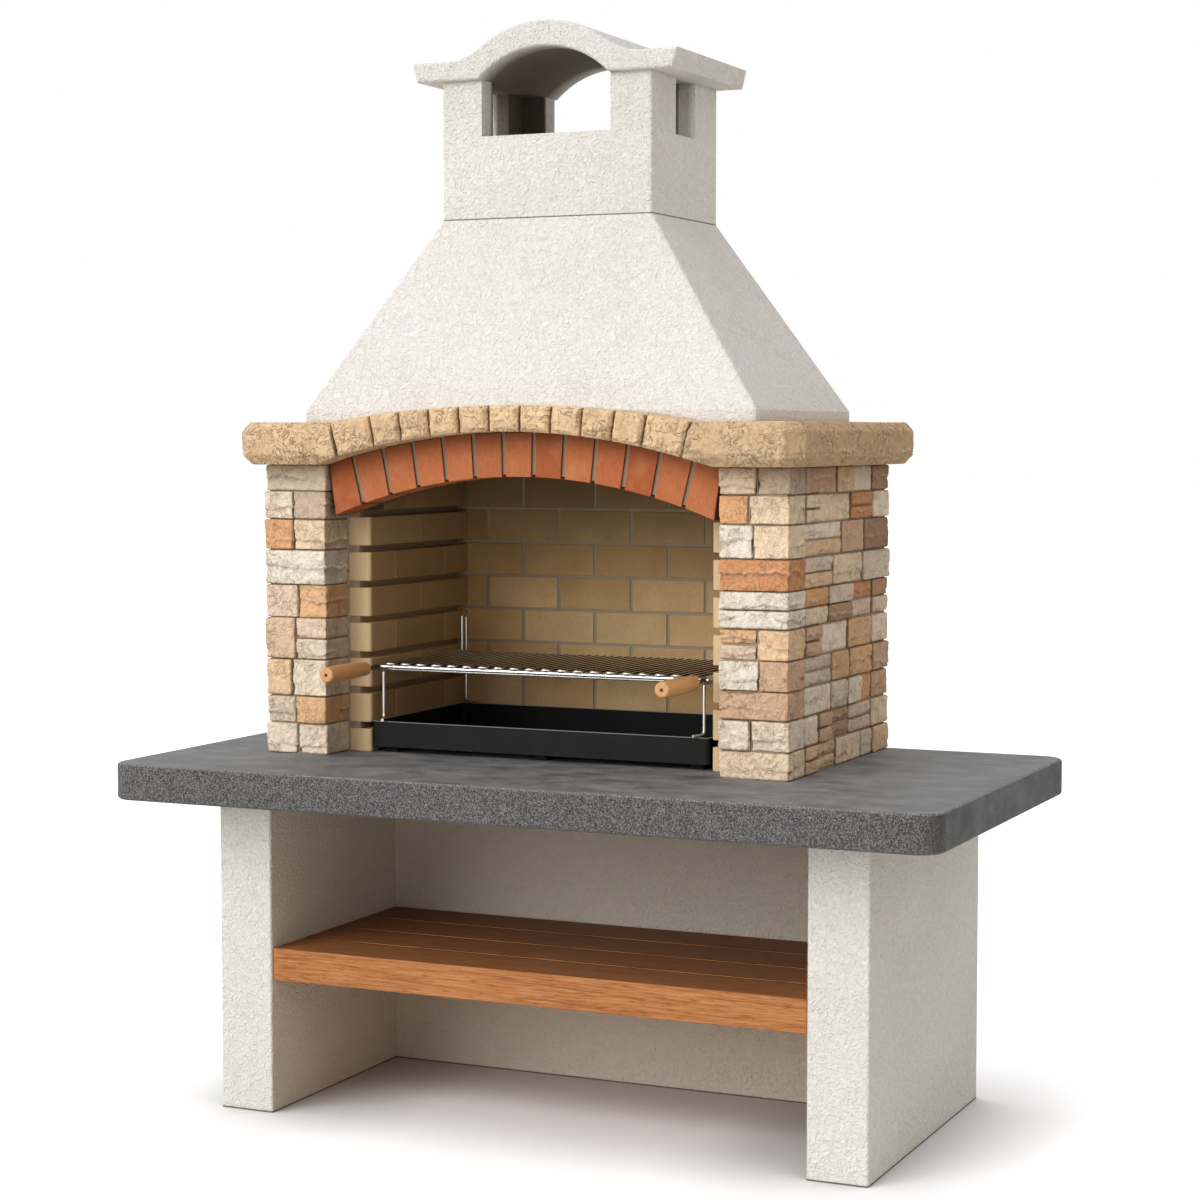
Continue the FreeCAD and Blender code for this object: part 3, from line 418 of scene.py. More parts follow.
surface(tree, {"Base Color": colour, "Roughness": 0.55, "Specular IOR Level": 0.15, "Normal": bump})
dress(wood, "shelf_plank_1", "shelf_plank_2", "shelf_plank_3", "shelf_plank_4", "shelf_battens")

# %% [markdown]
# ## Tools for hewn stone
# A split stone is a plain block to the mason: its arrises are worn round and its face breaks in swells, thin
# flakes with curved lips, and chips. Each CAD block is covered with an even net of small quads, its arrises
# are smoothed, and the net is pushed in and out by layered noise. That is real shape, so it shows in the
# outline and in the shadows.

# %% Separate the stones of one node
def loose_solids(node):
    bm = bmesh.new()
    bm.from_mesh(nodes[node].data)
    bmesh.ops.remove_doubles(bm, verts=bm.verts, dist=1e-5)
    waiting = set(bm.verts)
    solids = []
    for first in bm.verts:
        if first not in waiting:
            continue
        waiting.discard(first)
        found = [first]
        for vert in found:
            for other in (edge.other_vert(vert) for edge in vert.link_edges):
                if other in waiting:
                    waiting.discard(other)
                    found.append(other)
        number = {vert: index for index, vert in enumerate(found)}
        faces = dict.fromkeys(face for vert in found for face in vert.link_faces)
        solids.append((np.array([vert.co for vert in found]),
                       [[number[vert] for vert in face.verts] for face in faces]))
    bm.free()
    return solids


print("pier stones:", len(loose_solids("pier_stones_left")), len(loose_solids("pier_stones_right")))

# %% The square block that a stone is split from
def squared(points, inset):
    low, high = points.min(0) + inset, points.max(0) - inset
    corners = np.array([np.where(corner, high, low) for corner in np.ndindex(2, 2, 2)])
    return corners, [(0, 1, 3, 2), (4, 6, 7, 5), (0, 4, 5, 1), (2, 3, 7, 6), (0, 2, 6, 4), (1, 5, 7, 3)]


trial_low, trial_high = (0, 0, 0), (0.12, 0.08, 0.06)
trial_block = squared(np.array([trial_low, trial_high]), 0)
print("a trial block of", len(trial_block[0]), "corners and", len(trial_block[1]), "faces")

# %% Cover one stone with an even net and wear its arrises
def worn_block(points, faces, net_size, wear_passes):
    mesh = bpy.data.meshes.new("blank")
    mesh.from_pydata(points, [], faces)
    blank = bpy.data.objects.new("blank", mesh)
    scene.collection.objects.link(blank)
    net = blank.modifiers.new("net", "REMESH")
    net.mode = "VOXEL"
    net.voxel_size = net_size
    wear = blank.modifiers.new("wear", "SMOOTH")
    wear.factor = 0.5
    wear.iterations = wear_passes
    shaped = blank.evaluated_get(bpy.context.evaluated_depsgraph_get()).to_mesh()
    place = np.empty(3 * len(shaped.vertices), np.float32)
    normal = np.empty(3 * len(shaped.vertices), np.float32)
    quads = np.empty(len(shaped.loops), np.int32)
    shaped.vertices.foreach_get("co", place)
    shaped.vertices.foreach_get("normal", normal)
    shaped.loops.foreach_get("vertex_index", quads)
    bpy.data.objects.remove(blank)
    bpy.data.meshes.remove(mesh)
    return place.reshape(-1, 3).astype(float), normal.reshape(-1, 3).astype(float), quads.reshape(-1, 4)


trial_place, trial_normal, trial_quads = worn_block(*trial_block, 0.01, 1)
print("a net of", len(trial_quads), "quads on the trial block")

# %% Random hills of one size
def hills(place, size, seed):
    grid = place * (1000 / size) + seed * 7.31
    cell = np.floor(grid)
    part = grid - cell
    ease = part ** 3 * (part * (part * 6 - 15) + 10)
    total = 0
    for corner in np.ndindex(2, 2, 2):
        code = (cell + corner).astype(np.int64) @ np.array((73856093, 19349663, 83492791))
        code = (code ^ (code >> 13)) * 1274126177
        code = code ^ (code >> 16)
        slope = np.stack([(code >> shift & 255) / 127.5 - 1 for shift in (0, 8, 16)], 1)
        share = np.prod(np.where(corner, ease, 1 - ease), 1)
        total = total + share * ((part - corner) * slope).sum(1)
    return 1.6 * total


sample = hills(np.random.default_rng(1).random((4000, 3)), 40, 1)
print("hills from", round(sample.min(), 2), "to", round(sample.max(), 2))

# %% Break a face: millimetres in or out at each point, and its painted shade and highlight
def split_face(place, low, high, seed, swell, lip, chip):
    # The lower part of a face breaks back under a ragged lip, which runs out somewhere along most stones
    pick = np.random.default_rng(seed)
    lip_height = low + pick.uniform(0.22, 0.6) * (high - low)
    waves = 8 * hills(place, 44, seed + 1) - 6 * np.abs(hills(place, 19, seed + 2))
    waves = waves + 2 * hills(place, 7, seed + 3)
    above = (place[:, 2] - lip_height) * 1000 - waves
    run = np.clip(pick.uniform(0.1, 0.9) + 2.4 * hills(place, 95, seed + 9), 0.1, 1)
    under = np.clip(-above / 2.0, 0, 1) * np.clip(1 + above / 26, 0.15, 1) * run
    # Painted shadow along the underside of the lip, a painted highlight along its crest, and painted shade in
    # the hollows
    line = np.exp(-((above + 1.6) / 2.0) ** 2) * run
    crest_highlight = np.exp(-((above - 2.6) / 2.2) ** 2) * run
    bent = place + 0.006 * np.stack([hills(place, 24, seed + turn) for turn in (4, 5, 6)], 1)
    flakes = np.clip(hills(bent, 34, seed + 10) / 0.08, -1, 1)
    ridges = np.abs(hills(bent, 17, seed + 7)) + 0.5 * np.abs(hills(bent, 8, seed + 8))
    relief = swell * hills(place, 42, seed) - lip * under - chip * ridges + 0.35 * chip * flakes
    relief = relief + pick.uniform(-1.2, 0.8)
    hollow_shade = np.clip((-relief - 0.7 * lip) / 3.0, 0, 0.18)
    return relief, np.clip(0.6 * crest_highlight - 0.45 * line - hollow_shade, -1, 1)


trial_relief, trial_wear = split_face(trial_place, trial_low[2], trial_high[2], 1, 1.0, 3.0, 2.0)
print("trial relief from", round(trial_relief.min(), 1), "to", round(trial_relief.max(), 1), "mm")
print("trial wear from", round(trial_wear.min(), 2), "to", round(trial_wear.max(), 2))

# %% Push the net out, and paint shade into its joints and on one side
def broken(place, normal, shown, relief):
    # Full relief where the surface faces a shown direction, little on the beds between the stones
    toward = np.max(normal @ np.array(shown, float).T, axis=1)
    amount = np.clip((toward - 0.1) / 0.5, 0.12, 1)
    return place + normal * (amount * relief / 1000)[:, None]


def painted_joint_and_side_shade(normal, daylight, smoke_and_painted_shade, wear):
    # Painted shade on faces in the joints, which see no daylight, and on the side that the given vector points
    # to
    toward = np.max(normal @ np.array(daylight, float).T, axis=1)
    joint_shade = np.clip((0.65 - toward) / 0.5, 0, 1)
    haze = np.clip(normal @ np.array(smoke_and_painted_shade, float), 0, 1)
    return np.clip(wear - joint_shade - haze, -1, 1)


trial_moved = broken(trial_place, trial_normal, [(0, -1, 0)], trial_relief) - trial_place
print("the trial block moves by", round(1000 * np.abs(trial_moved).max(), 1), "mm at most")

# %% Join the stones of one node into one piece
def set_in_place(name, mesh, finish, node):
    mesh.materials.append(finish)
    piece = bpy.data.objects.new(name, mesh)
    scene.collection.objects.link(piece)
    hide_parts(node)
    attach(piece, "masonry")
    print(name, "of", len(mesh.polygons), "faces")


def lay(name, node, finish, blocks):
    # Each block is the places of its points, its quads, its tint and its painted shade and highlight, kept as
    # wear
    starts = np.cumsum([0] + [len(block[0]) for block in blocks])
    mesh = bpy.data.meshes.new(name)
    mesh.from_pydata(np.concatenate([block[0] for block in blocks]), [],
                     np.concatenate([block[1] + start for block, start in zip(blocks, starts)]))
    tints = np.concatenate([np.tile(block[2], (len(block[0]), 1)) for block in blocks])
    painted_shades = np.concatenate([block[3] for block in blocks])
    tint_layer = mesh.attributes.new("tint", "FLOAT_COLOR", "POINT")
    tint_layer.data.foreach_set("color", tints.astype(np.float32).ravel())
    painted_shade_layer = mesh.attributes.new("wear", "FLOAT", "POINT")
    painted_shade_layer.data.foreach_set("value", painted_shades.astype(np.float32))
    mesh.shade_smooth()
    set_in_place(name, mesh, finish, node)


# %% [markdown]
# ## Hewn sandstone
# The piers and side walls mix sandstones from several beds: cream, grey, pink, tan and rust. Each stone takes
# its own tint as an attribute of its points, and as another, named wear, its painted shade and highlight. The
# material adds what all of them share: sandy grain of about four millimetres, ripples of ten, thin curved
# creases drawn darker as painted shade, soft stains, a painted highlight on the ridges and painted shade in the
# hollows and joints. The course under the mantel is darkened as a painted shadow of the mantel.

# %% What split stones share
def creases(tree, place, size, width, patches, low, high, depth):
    # Thin curved lines where a twisted noise crosses its middle value, only in some patches
    fold = add(tree, "TexNoise", {"Vector": place, "Scale": 1000 / size, "Detail": 2.0, "Distortion": 1.6})
    fold = add(tree, "Math", {0: fold, 1: 0.5}, operation="SUBTRACT")
    fold = add(tree, "Math", {0: fold}, operation="ABSOLUTE")
    line = add(tree, "MapRange", {"Value": fold, "From Max": width, "To Min": 1.0, "To Max": 0.0})
    cracked = add(tree, "MapRange", {"Value": patches, "From Min": low, "From Max": high, "To Max": depth})
    return add(tree, "Math", {0: line, 1: cracked}, operation="MULTIPLY")


def painted_shade_and_highlight(tree, colour, shade_depth, shade_code, highlight_code):
    # The wear attribute holds painted shade below zero, which darkens, and a painted highlight above zero,
    # which pales
    wear = add(tree, "Attribute", attribute_name="wear").outputs["Fac"]
    painted_shade = add(tree, "MapRange", {"Value": wear, "From Min": -1.0, "From Max": 0.0,
                                  "To Min": shade_depth, "To Max": 0.0})
    colour = add(tree, "Mix", {0: painted_shade, 6: colour, 7: linear(shade_code)}, data_type="RGBA")
    dust = add(tree, "MapRange", {"Value": wear, "From Max": 0.6, "To Max": 0.35})
    return add(tree, "Mix", {0: dust, 6: colour, 7: linear(highlight_code)}, data_type="RGBA")


def engraved(tree, crease, ripple, sand, strength):
    height = add(tree, "Math", {0: crease, 1: -2.2, 2: ripple}, operation="MULTIPLY_ADD")
    height = add(tree, "Math", {0: sand, 1: 0.4, 2: height}, operation="MULTIPLY_ADD")
    return add(tree, "Bump", {"Height": height, "Strength": strength, "Distance": 0.005})


# %% Sandstone finish
sandstone, tree, place = new_finish("split_sandstone")
tint = add(tree, "Attribute", attribute_name="tint").outputs["Color"]
stain = add(tree, "TexNoise", {"Vector": place, "Scale": 1000 / 38, "Detail": 3.0, "Roughness": 0.6})
sand = add(tree, "TexNoise", {"Vector": place, "Scale": 1000 / 4, "Detail": 3.0, "Roughness": 0.7})
ripple = add(tree, "TexNoise", {"Vector": place, "Scale": 1000 / 10, "Detail": 3.0, "Roughness": 0.6,
                                "Distortion": 0.9})
stained = add(tree, "MapRange", {"Value": stain, "From Min": 0.45, "From Max": 0.75, "To Max": 0.28})
colour = add(tree, "Mix", {0: stained, 6: tint, 7: linear("C8A988")}, data_type="RGBA")
colour = vary(tree, colour, sand, 0.87, 1.12)
colour = vary(tree, colour, ripple, 0.88, 1.12)
crease = creases(tree, place, 26, 0.028, stain, 0.42, 0.56, 0.2)
# Painted shade: the creases are drawn darker
colour = add(tree, "Mix", {0: crease, 6: colour, 7: linear("7A5F47")}, data_type="RGBA")
colour = painted_shade_and_highlight(tree, colour, 0.6, "5E4936", "F2E9DA")
# Painted shadow of the mantel: the course just under it darkens toward brown
mantel_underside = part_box("mantel_corner_left")[0][2]
level = add(tree, "SeparateXYZ", {0: place}).outputs["Z"]
mantel_shadow = add(tree, "MapRange", {"Value": level, "From Min": mantel_underside - 0.075,
                                      "From Max": mantel_underside - 0.01, "To Max": 0.42})
colour = add(tree, "Mix", {0: mantel_shadow, 6: colour, 7: linear("6A5542")}, data_type="RGBA")
bump = engraved(tree, crease, ripple, sand, 0.85)
surface(tree, {"Base Color": colour, "Roughness": 0.9, "Specular IOR Level": 0.25, "Normal": bump})
print(sandstone.name, "smoked above", round(mantel_underside - 0.075, 3), "m")

# %% Sandstone tints
stone_tints = {name: linear(code) for name, code in {
    "white": "F5EBDB", "cream": "F0DFC9", "beige": "E9D2B4", "grey": "DBCAB6", "tan": "E3C19C",
    "ochre": "DDB286", "orange": "DAA678", "rust": "CB9064", "pink": "DFC6B0", "rose": "CFAC8E",
    "brown": "B4906F", "blush": "D7B99F", "ash": "C4B09A", "dark": "9D7E64"}.items()}
print(sandstone.name, "in", len(stone_tints), "tints")

# %% [markdown]
# ## Piers and side walls
# A mason lays course on course, so the tints are listed the same way: one string for each course from the
# worktop up, and in it one word for each stone, from the chamber outwards on a pier and from the pier to the
# rear on a wall. Where two stones share a course's height, the upper ones have a string of their own. Stones
# are told apart by where they lie. The piers were chosen pale, and the walls are laid a shade darker, partly
# as painted light on the piers and painted shade on the walls. One side of each pier is darkened as painted
# shade; on the left pier it is the chamber side, and partly smoke.

# %% Lay the stones of one node by its list of tints
stone_wear_passes = 5
seed_step = 11
brightest_tint = 0.93


def hewn_wall(name, node, along, shown, tints, net_size, relief_sizes, tone_and_painted_light, inset, smoke_and_painted_shade):
    rows = {}
    for points, _ in loose_solids(node):
        rows.setdefault(round(points[:, 2].min(), 3), []).append(points)
    laid = []
    seed = len(name)
    for level, words in zip(sorted(rows), tints, strict=True):
        stones = sorted(rows[level], key=lambda points: points.mean(0) @ along)
        for points, word in zip(stones, words.split(), strict=True):
            seed += seed_step
            place, normal, quads = worn_block(*squared(points, inset), net_size, stone_wear_passes)
            relief, wear = split_face(place, points[:, 2].min(), points[:, 2].max(), seed, *relief_sizes)
            tint = np.array(stone_tints[word])
            tint = tint * min(tone_and_painted_light, brightest_tint / tint[:3].max())
            wear = painted_joint_and_side_shade(normal, shown, smoke_and_painted_shade, wear)
            laid.append((broken(place, normal, shown, relief), quads, tint, wear))
    lay(name, node, sandstone, laid)


print("hewn arrises take", stone_wear_passes, "passes of wear")

# %% Piers
left_pier = ["cream cream", "ochre grey", "cream tan", "grey blush", "pink", "ochre pink", "white",
             "beige orange", "ash cream", "grey"]
right_pier = ["beige", "cream cream", "rose", "white rose", "pink tan", "ochre", "white", "white", "rust",
              "white beige", "orange beige", "beige ash"]
pier_net = 0.0027
pier_paleness = 1.18
pier_relief = (1.4, 4.1, 2.4)
pier_inset = (-0.0005, 0, -0.0008)
pier_shown = [(0, -1, 0), (1, 0, 0), (-1, 0, 0)]
# Painted shade on one side of each pier: the left pier's chamber side, partly smoke, and the right pier's outer
# side
hewn_wall("hewn_pier_left", "pier_stones_left", (-1, 0, 0), pier_shown, left_pier, pier_net,
          pier_relief, pier_paleness, pier_inset, (0.7, 0, 0))
hewn_wall("hewn_pier_right", "pier_stones_right", (1, 0, 0), pier_shown, right_pier, pier_net,
          pier_relief, pier_paleness, pier_inset, (0.3, 0, 0))

# %% Side walls
right_wall = ["tan tan beige grey tan", "tan tan",
              "cream rose brown pink beige", "rose brown pink",
              "cream grey cream orange rose",
              "grey ochre ochre rose", "grey",
              "rose cream ochre cream", "rose",
              "beige brown pink pink", "orange grey rust brown",
              "tan beige grey", "grey",
              "tan rose dark", "cream",
              "beige beige rust cream", "beige rust",
              "rose tan cream brown"]
left_wall = right_wall[5:] + right_wall[:4]
wall_net = 0.0037
wall_paleness = 0.97
wall_relief = (0.9, 3.0, 1.8)
wall_inset = (0, 0.0004, -0.0007)
no_side_shade = (0, 0, 0)
hewn_wall("hewn_wall_right", "side_stones_right", (0, 1, 0), [(1, 0, 0), (0, 1, 0)], right_wall,
          wall_net, wall_relief, wall_paleness, wall_inset, no_side_shade)
hewn_wall("hewn_wall_left", "side_stones_left", (0, 1, 0), [(-1, 0, 0), (0, 1, 0)], left_wall,
          wall_net, wall_relief, wall_paleness, wall_inset, no_side_shade)

# %% [markdown]
# ## The mantel
# The mantel is cast in tan sandstone concrete with a rock face. Its mould was taken from split stone, so the
# relief is shallow and crowded with short curved ridges, and the arrises stay crisper than on the hewn
# stones. The same net and hills make it, with the same painted shade and highlight, in one colour with a
# slightly different tone for each casting. Its creases are drawn darker as painted shade, and the right
# corner is set darker, with its outer side darkened, as painted shade.

# %% Mantel finish
mantel, tree, place = new_finish("cast_rock_faced_sandstone")
tone = add(tree, "Attribute", attribute_name="tint").outputs["Color"]
stain = add(tree, "TexNoise", {"Vector": place, "Scale": 1000 / 60, "Detail": 3.0, "Roughness": 0.6})
sand = add(tree, "TexNoise", {"Vector": place, "Scale": 1000 / 4, "Detail": 3.0, "Roughness": 0.7})
ripple = add(tree, "TexNoise", {"Vector": place, "Scale": 1000 / 11, "Detail": 3.0, "Roughness": 0.65,
                                "Distortion": 1.2})
colour = add(tree, "Mix", {0: stain, 6: linear("D9B58B"), 7: linear("E6CAA6")}, data_type="RGBA")
colour = add(tree, "VectorMath", {0: colour, 1: tone}, operation="MULTIPLY")
colour = vary(tree, colour, sand, 0.88, 1.07)
colour = vary(tree, colour, ripple, 0.84, 1.12)
crease = creases(tree, place, 24, 0.025, stain, 0.4, 0.54, 0.42)
# Painted shade: the creases are drawn darker
colour = add(tree, "Mix", {0: crease, 6: colour, 7: linear("9A744A")}, data_type="RGBA")
colour = painted_shade_and_highlight(tree, colour, 0.5, "6B4F2C", "F0DCBD")
bump = engraved(tree, crease, ripple, sand, 0.88)
surface(tree, {"Base Color": colour, "Roughness": 0.9, "Specular IOR Level": 0.25, "Normal": bump})
print(mantel.name, "with", len(tree.nodes), "shader nodes")

# %% Mantel stones
casting_wear_passes = 1
first_casting_seed = 300


def rock_faced(name, node, net_size, shown, tone_and_painted_light, relief_sizes, smoke_and_painted_shade):
    tones = np.random.default_rng(len(name))
    laid = []
    for number, (points, faces) in enumerate(loose_solids(node)):
        place, normal, quads = worn_block(points, faces, net_size, casting_wear_passes)
        seed = first_casting_seed + seed_step * number + len(name)
        relief, wear = split_face(place, points[:, 2].min(), points[:, 2].max(), seed, *relief_sizes)
        wear = painted_joint_and_side_shade(normal, shown + [(0, 0, 1), (0, 0, -1)], smoke_and_painted_shade, wear)
        tone = tone_and_painted_light * tones.uniform(0.93, 1.07) * np.ones(4)
        laid.append((broken(place, normal, shown, relief), quads, tone, wear))
    lay(name, node, mantel, laid)


arch_relief = (0.8, 2.2, 2.4)
corner_relief = (0.6, 2.0, 2.2)
arch_net, corner_net, rear_net = 0.0028, 0.0032, 0.005
rock_faced("mantel_arch_rock_faced", "mantel_arch_stones", arch_net, [(0, -1, 0)],
           1.2, arch_relief, no_side_shade)
rock_faced("mantel_left_rock_faced", "mantel_corner_left", corner_net, [(0, -1, 0), (-1, 0, 0), (0, 1, 0)],
           1.15, corner_relief, no_side_shade)
# Painted shade: the right corner is set darker, and its outer side is darkened
rock_faced("mantel_right_rock_faced", "mantel_corner_right", corner_net, [(0, -1, 0), (1, 0, 0), (0, 1, 0)],
           0.97, corner_relief, (0.45, 0, 0))
rock_faced("mantel_rear_rock_faced", "mantel_rear_beam", rear_net, [(0, 1, 0)],
           1.0, corner_relief, no_side_shade)

# %% [markdown]
# ## Firebrick
# The chamber is lined with pressed refractory bricks: tan, smooth and sharp-edged but for a small broken
# arris, so a bevel on the CAD blocks is enough of a shape. Each brick fired a little differently and takes
# its own tint. Smoke has browned the upper courses and the inward faces, which also stands in for the shade
# there, and the front noses are drawn paler as a painted highlight.

# %% Bricks with broken arrises
def bricks(name, node, finish, arris, tints, seed):
    picks = np.random.default_rng(seed)
    whole = bmesh.new()
    tint_layer = whole.verts.layers.float_color.new("tint")
    for points, faces in loose_solids(node):
        brick = bmesh.new()
        corners = [brick.verts.new(point) for point in points]
        for face in faces:
            brick.faces.new([corners[index] for index in face])
        bmesh.ops.dissolve_limit(brick, angle_limit=math.radians(1), verts=brick.verts, edges=brick.edges)
        sharp = [edge for edge in brick.edges
                 if edge.is_manifold and edge.calc_face_angle() > math.radians(30)]
        bmesh.ops.bevel(brick, geom=sharp, offset=arris, segments=2, affect="EDGES", profile=0.5)
        colour = np.array(linear(tints[picks.integers(len(tints))])) * picks.uniform(0.95, 1.09)
        made = {vert: whole.verts.new(vert.co) for vert in brick.verts}
        for vert in made.values():
            vert[tint_layer] = (*colour[:3], 1)
        for face in brick.faces:
            whole.faces.new([made[vert] for vert in face.verts])
        brick.free()
    mesh = bpy.data.meshes.new(name)
    whole.to_mesh(mesh)
    whole.free()
    set_in_place(name, mesh, finish, node)


# %% Firebrick finish
firebrick, tree, place = new_finish("pressed_firebrick")
tint = add(tree, "Attribute", attribute_name="tint").outputs["Color"]
soot = add(tree, "TexNoise", {"Vector": place, "Scale": 1000 / 90, "Detail": 3.0, "Roughness": 0.6})
grog = add(tree, "TexNoise", {"Vector": place, "Scale": 1000 / 5, "Detail": 3.0, "Roughness": 0.65})
colour = vary(tree, tint, grog, 0.9, 1.06)
shade = add(tree, "MapRange", {"Value": soot, "From Min": 0.4, "From Max": 0.75, "To Max": 0.3})
colour = add(tree, "Mix", {0: shade, 6: colour, 7: linear("A07E56")}, data_type="RGBA")
# The inward faces and the upper courses darken toward brown: smoke, and also painted shade
inward = add(tree, "Math", {0: facing(tree)["X"]}, operation="ABSOLUTE")
inward = add(tree, "Math", {0: inward, 1: 0.55}, operation="MULTIPLY")
spot = add(tree, "SeparateXYZ", {0: place}).outputs
smoke_low, smoke_high = 1.02, 1.28
smoke_and_painted_shade = add(tree, "MapRange", {"Value": spot["Z"], "From Min": smoke_low, "From Max": smoke_high,
                                "To Max": 0.8})
smoke_and_painted_shade = add(tree, "Math", {0: smoke_and_painted_shade, 1: inward}, operation="MAXIMUM")
colour = add(tree, "Mix", {0: smoke_and_painted_shade, 6: colour, 7: linear("6A5238")}, data_type="RGBA")
nose_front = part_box("lining_bricks_left")[0][1]
# Painted highlight: the front noses are drawn paler
nose_highlight = add(tree, "MapRange", {"Value": spot["Y"], "From Min": nose_front + 0.002,
                                "From Max": nose_front + 0.01, "To Min": 0.68, "To Max": 0.0})
colour = add(tree, "Mix", {0: nose_highlight, 6: colour, 7: linear("E8D0A8")}, data_type="RGBA")
bump = add(tree, "Bump", {"Height": grog, "Strength": 0.3, "Distance": 0.0012})
surface(tree, {"Base Color": colour, "Roughness": 0.88, "Specular IOR Level": 0.3, "Normal": bump})
print(firebrick.name, "smoked from", smoke_low, "to", smoke_high, "m")

# %% Lining and rear wall
firebrick_tints = ["DDB986", "E2C08E", "D8B17C", "DCB67F"]
bricks("firebrick_lining_left", "lining_bricks_left", firebrick, 0.002, firebrick_tints, 5)
bricks("firebrick_lining_right", "lining_bricks_right", firebrick, 0.002, firebrick_tints, 6)
bricks("firebrick_rear_wall", "rear_bricks", firebrick, 0.0015, firebrick_tints, 7)

# %% [markdown]
# ## The brick arch
# Thirteen red bricks were laid over a wooden former and now carry the mantel. They are wire-cut clay: smooth,
# with drag lines and soft arrises, and fired from orange to red. Real drag lines are about a millimetre wide
# and would not show, so they are drawn at four. AO darkens the bricks where they meet the mantel and the
# piers, as painted shade.

# %% Arch brick finish
clay, tree, place = new_finish("fired_red_clay")
tint = add(tree, "Attribute", attribute_name="tint").outputs["Color"]
drag_place = stretched(tree, place, (4, 4, 11))
drag = add(tree, "TexNoise", {"Vector": drag_place, "Scale": 1.0, "Detail": 3.0, "Roughness": 0.6})
bloom = add(tree, "TexNoise", {"Vector": place, "Scale": 1000 / 45, "Detail": 3.0})
colour = vary(tree, tint, drag, 0.88, 1.08)
pale = add(tree, "MapRange", {"Value": bloom, "From Min": 0.5, "From Max": 0.8, "To Max": 0.35})
colour = add(tree, "Mix", {0: pale, 6: colour, 7: linear("D79A70")}, data_type="RGBA")
# Painted shade: AO darkens the bricks where they meet the mantel, the piers and each other
corner = add(tree, "AmbientOcclusion", {"Distance": 0.05}, samples=6).outputs["AO"]
corner = add(tree, "MapRange", {"Value": corner, "From Min": 0.25, "From Max": 0.92,
                                "To Min": 0.85, "To Max": 0.0})
colour = add(tree, "Mix", {0: corner, 6: colour, 7: linear("3A1D10")}, data_type="RGBA")
bump = add(tree, "Bump", {"Height": drag, "Strength": 0.35, "Distance": 0.0012})
surface(tree, {"Base Color": colour, "Roughness": 0.85, "Specular IOR Level": 0.3, "Normal": bump})
bricks("clay_arch", "arch_bricks", clay, 0.0012, ["B5673F", "AF6038", "BA6E45"], 9)

# %% [markdown]
# ## Mortar and plain concrete
# Joints are sandy mortar: grey brown cement between the stones, paler lime in the rear wall, smoked in the
# arch. Its sand is drawn at three millimetres, coarser than it is, so that it shows. The wall cores and the
# lintel are plain concrete, cast against smooth boards, which leaves clouds a hand wide and air holes of a
# few millimetres. It shows at the back and under the arch.

# %% Mortar finishes
def mortar(name, dark, light):
    material, tree, place = new_finish(name)
    sand = add(tree, "TexNoise", {"Vector": place, "Scale": 1000 / 3, "Detail": 3.0, "Roughness": 0.7})
    colour = add(tree, "Mix", {0: sand, 6: linear(dark), 7: linear(light)}, data_type="RGBA")
    bump = add(tree, "Bump", {"Height": sand, "Strength": 0.5, "Distance": 0.0015})
    surface(tree, {"Base Color": colour, "Roughness": 0.94, "Normal": bump})
    return material


dress(mortar("cement_mortar", "857560", "B4A38B"), "pier_mortar_left", "pier_mortar_right",
      "side_mortar_left", "side_mortar_right", "lining_mortar_left", "lining_mortar_right")
dress(mortar("lime_mortar_rear_wall", "9A8B74", "C2B49C"), "rear_mortar")
dress(mortar("smoked_mortar_arch", "85745E", "B09D84"), "arch_mortar")

# %% Concrete finishes
def cast_concrete(name, dark, light):
    material, tree, place = new_finish(name)
    sand = add(tree, "TexNoise", {"Vector": place, "Scale": 1000 / 6, "Detail": 3.0, "Roughness": 0.7})
    cloud = add(tree, "TexNoise", {"Vector": place, "Scale": 1000 / 220, "Detail": 4.0})
    cell = add(tree, "TexVoronoi", {"Vector": place, "Scale": 1000 / 28}).outputs["Distance"]
    hole = add(tree, "MapRange", {"Value": cell, "From Min": 0.06, "From Max": 0.12,
                                  "To Min": 0.7, "To Max": 0.0})
    colour = add(tree, "Mix", {0: sand, 6: linear(dark), 7: linear(light)}, data_type="RGBA")
    colour = vary(tree, colour, cloud, 0.86, 1.1)
    # Painted shade: the air holes are drawn dark
    colour = add(tree, "Mix", {0: hole, 6: colour, 7: linear("3F3B36")}, data_type="RGBA")
    height = add(tree, "Math", {0: hole, 1: -3.0, 2: sand}, operation="MULTIPLY_ADD")
    bump = add(tree, "Bump", {"Height": height, "Strength": 0.5, "Distance": 0.002})
    surface(tree, {"Base Color": colour, "Roughness": 0.94, "Normal": bump})
    return material


dress(cast_concrete("plain_cast_concrete", "9C968B", "CBC6BC"),
      "wall_core_left", "wall_core_right", "wall_core_rear")
dress(cast_concrete("smoked_cast_concrete", "463829", "66533D"), "arch_lintel")

# %% [markdown]
# ## Fire gear
# The tray is pressed sheet under black satin enamel, with a pale rim that is a painted highlight, partly
# wear, and a charred inside that is partly painted shade. The enamel's waviness is drawn at seven
# millimetres, coarser than it is, so that it shows. The stand and the grid's rails are chromed wire, hazy
# from heat. The grid's bars were chromed too: fire has blackened them below, which also stands in for the
# shade between the bars, and brushing keeps their tops bright. The rods are bare steel that the fire has
# browned, and the grips are turned beech with its short dark flecks along the grain.

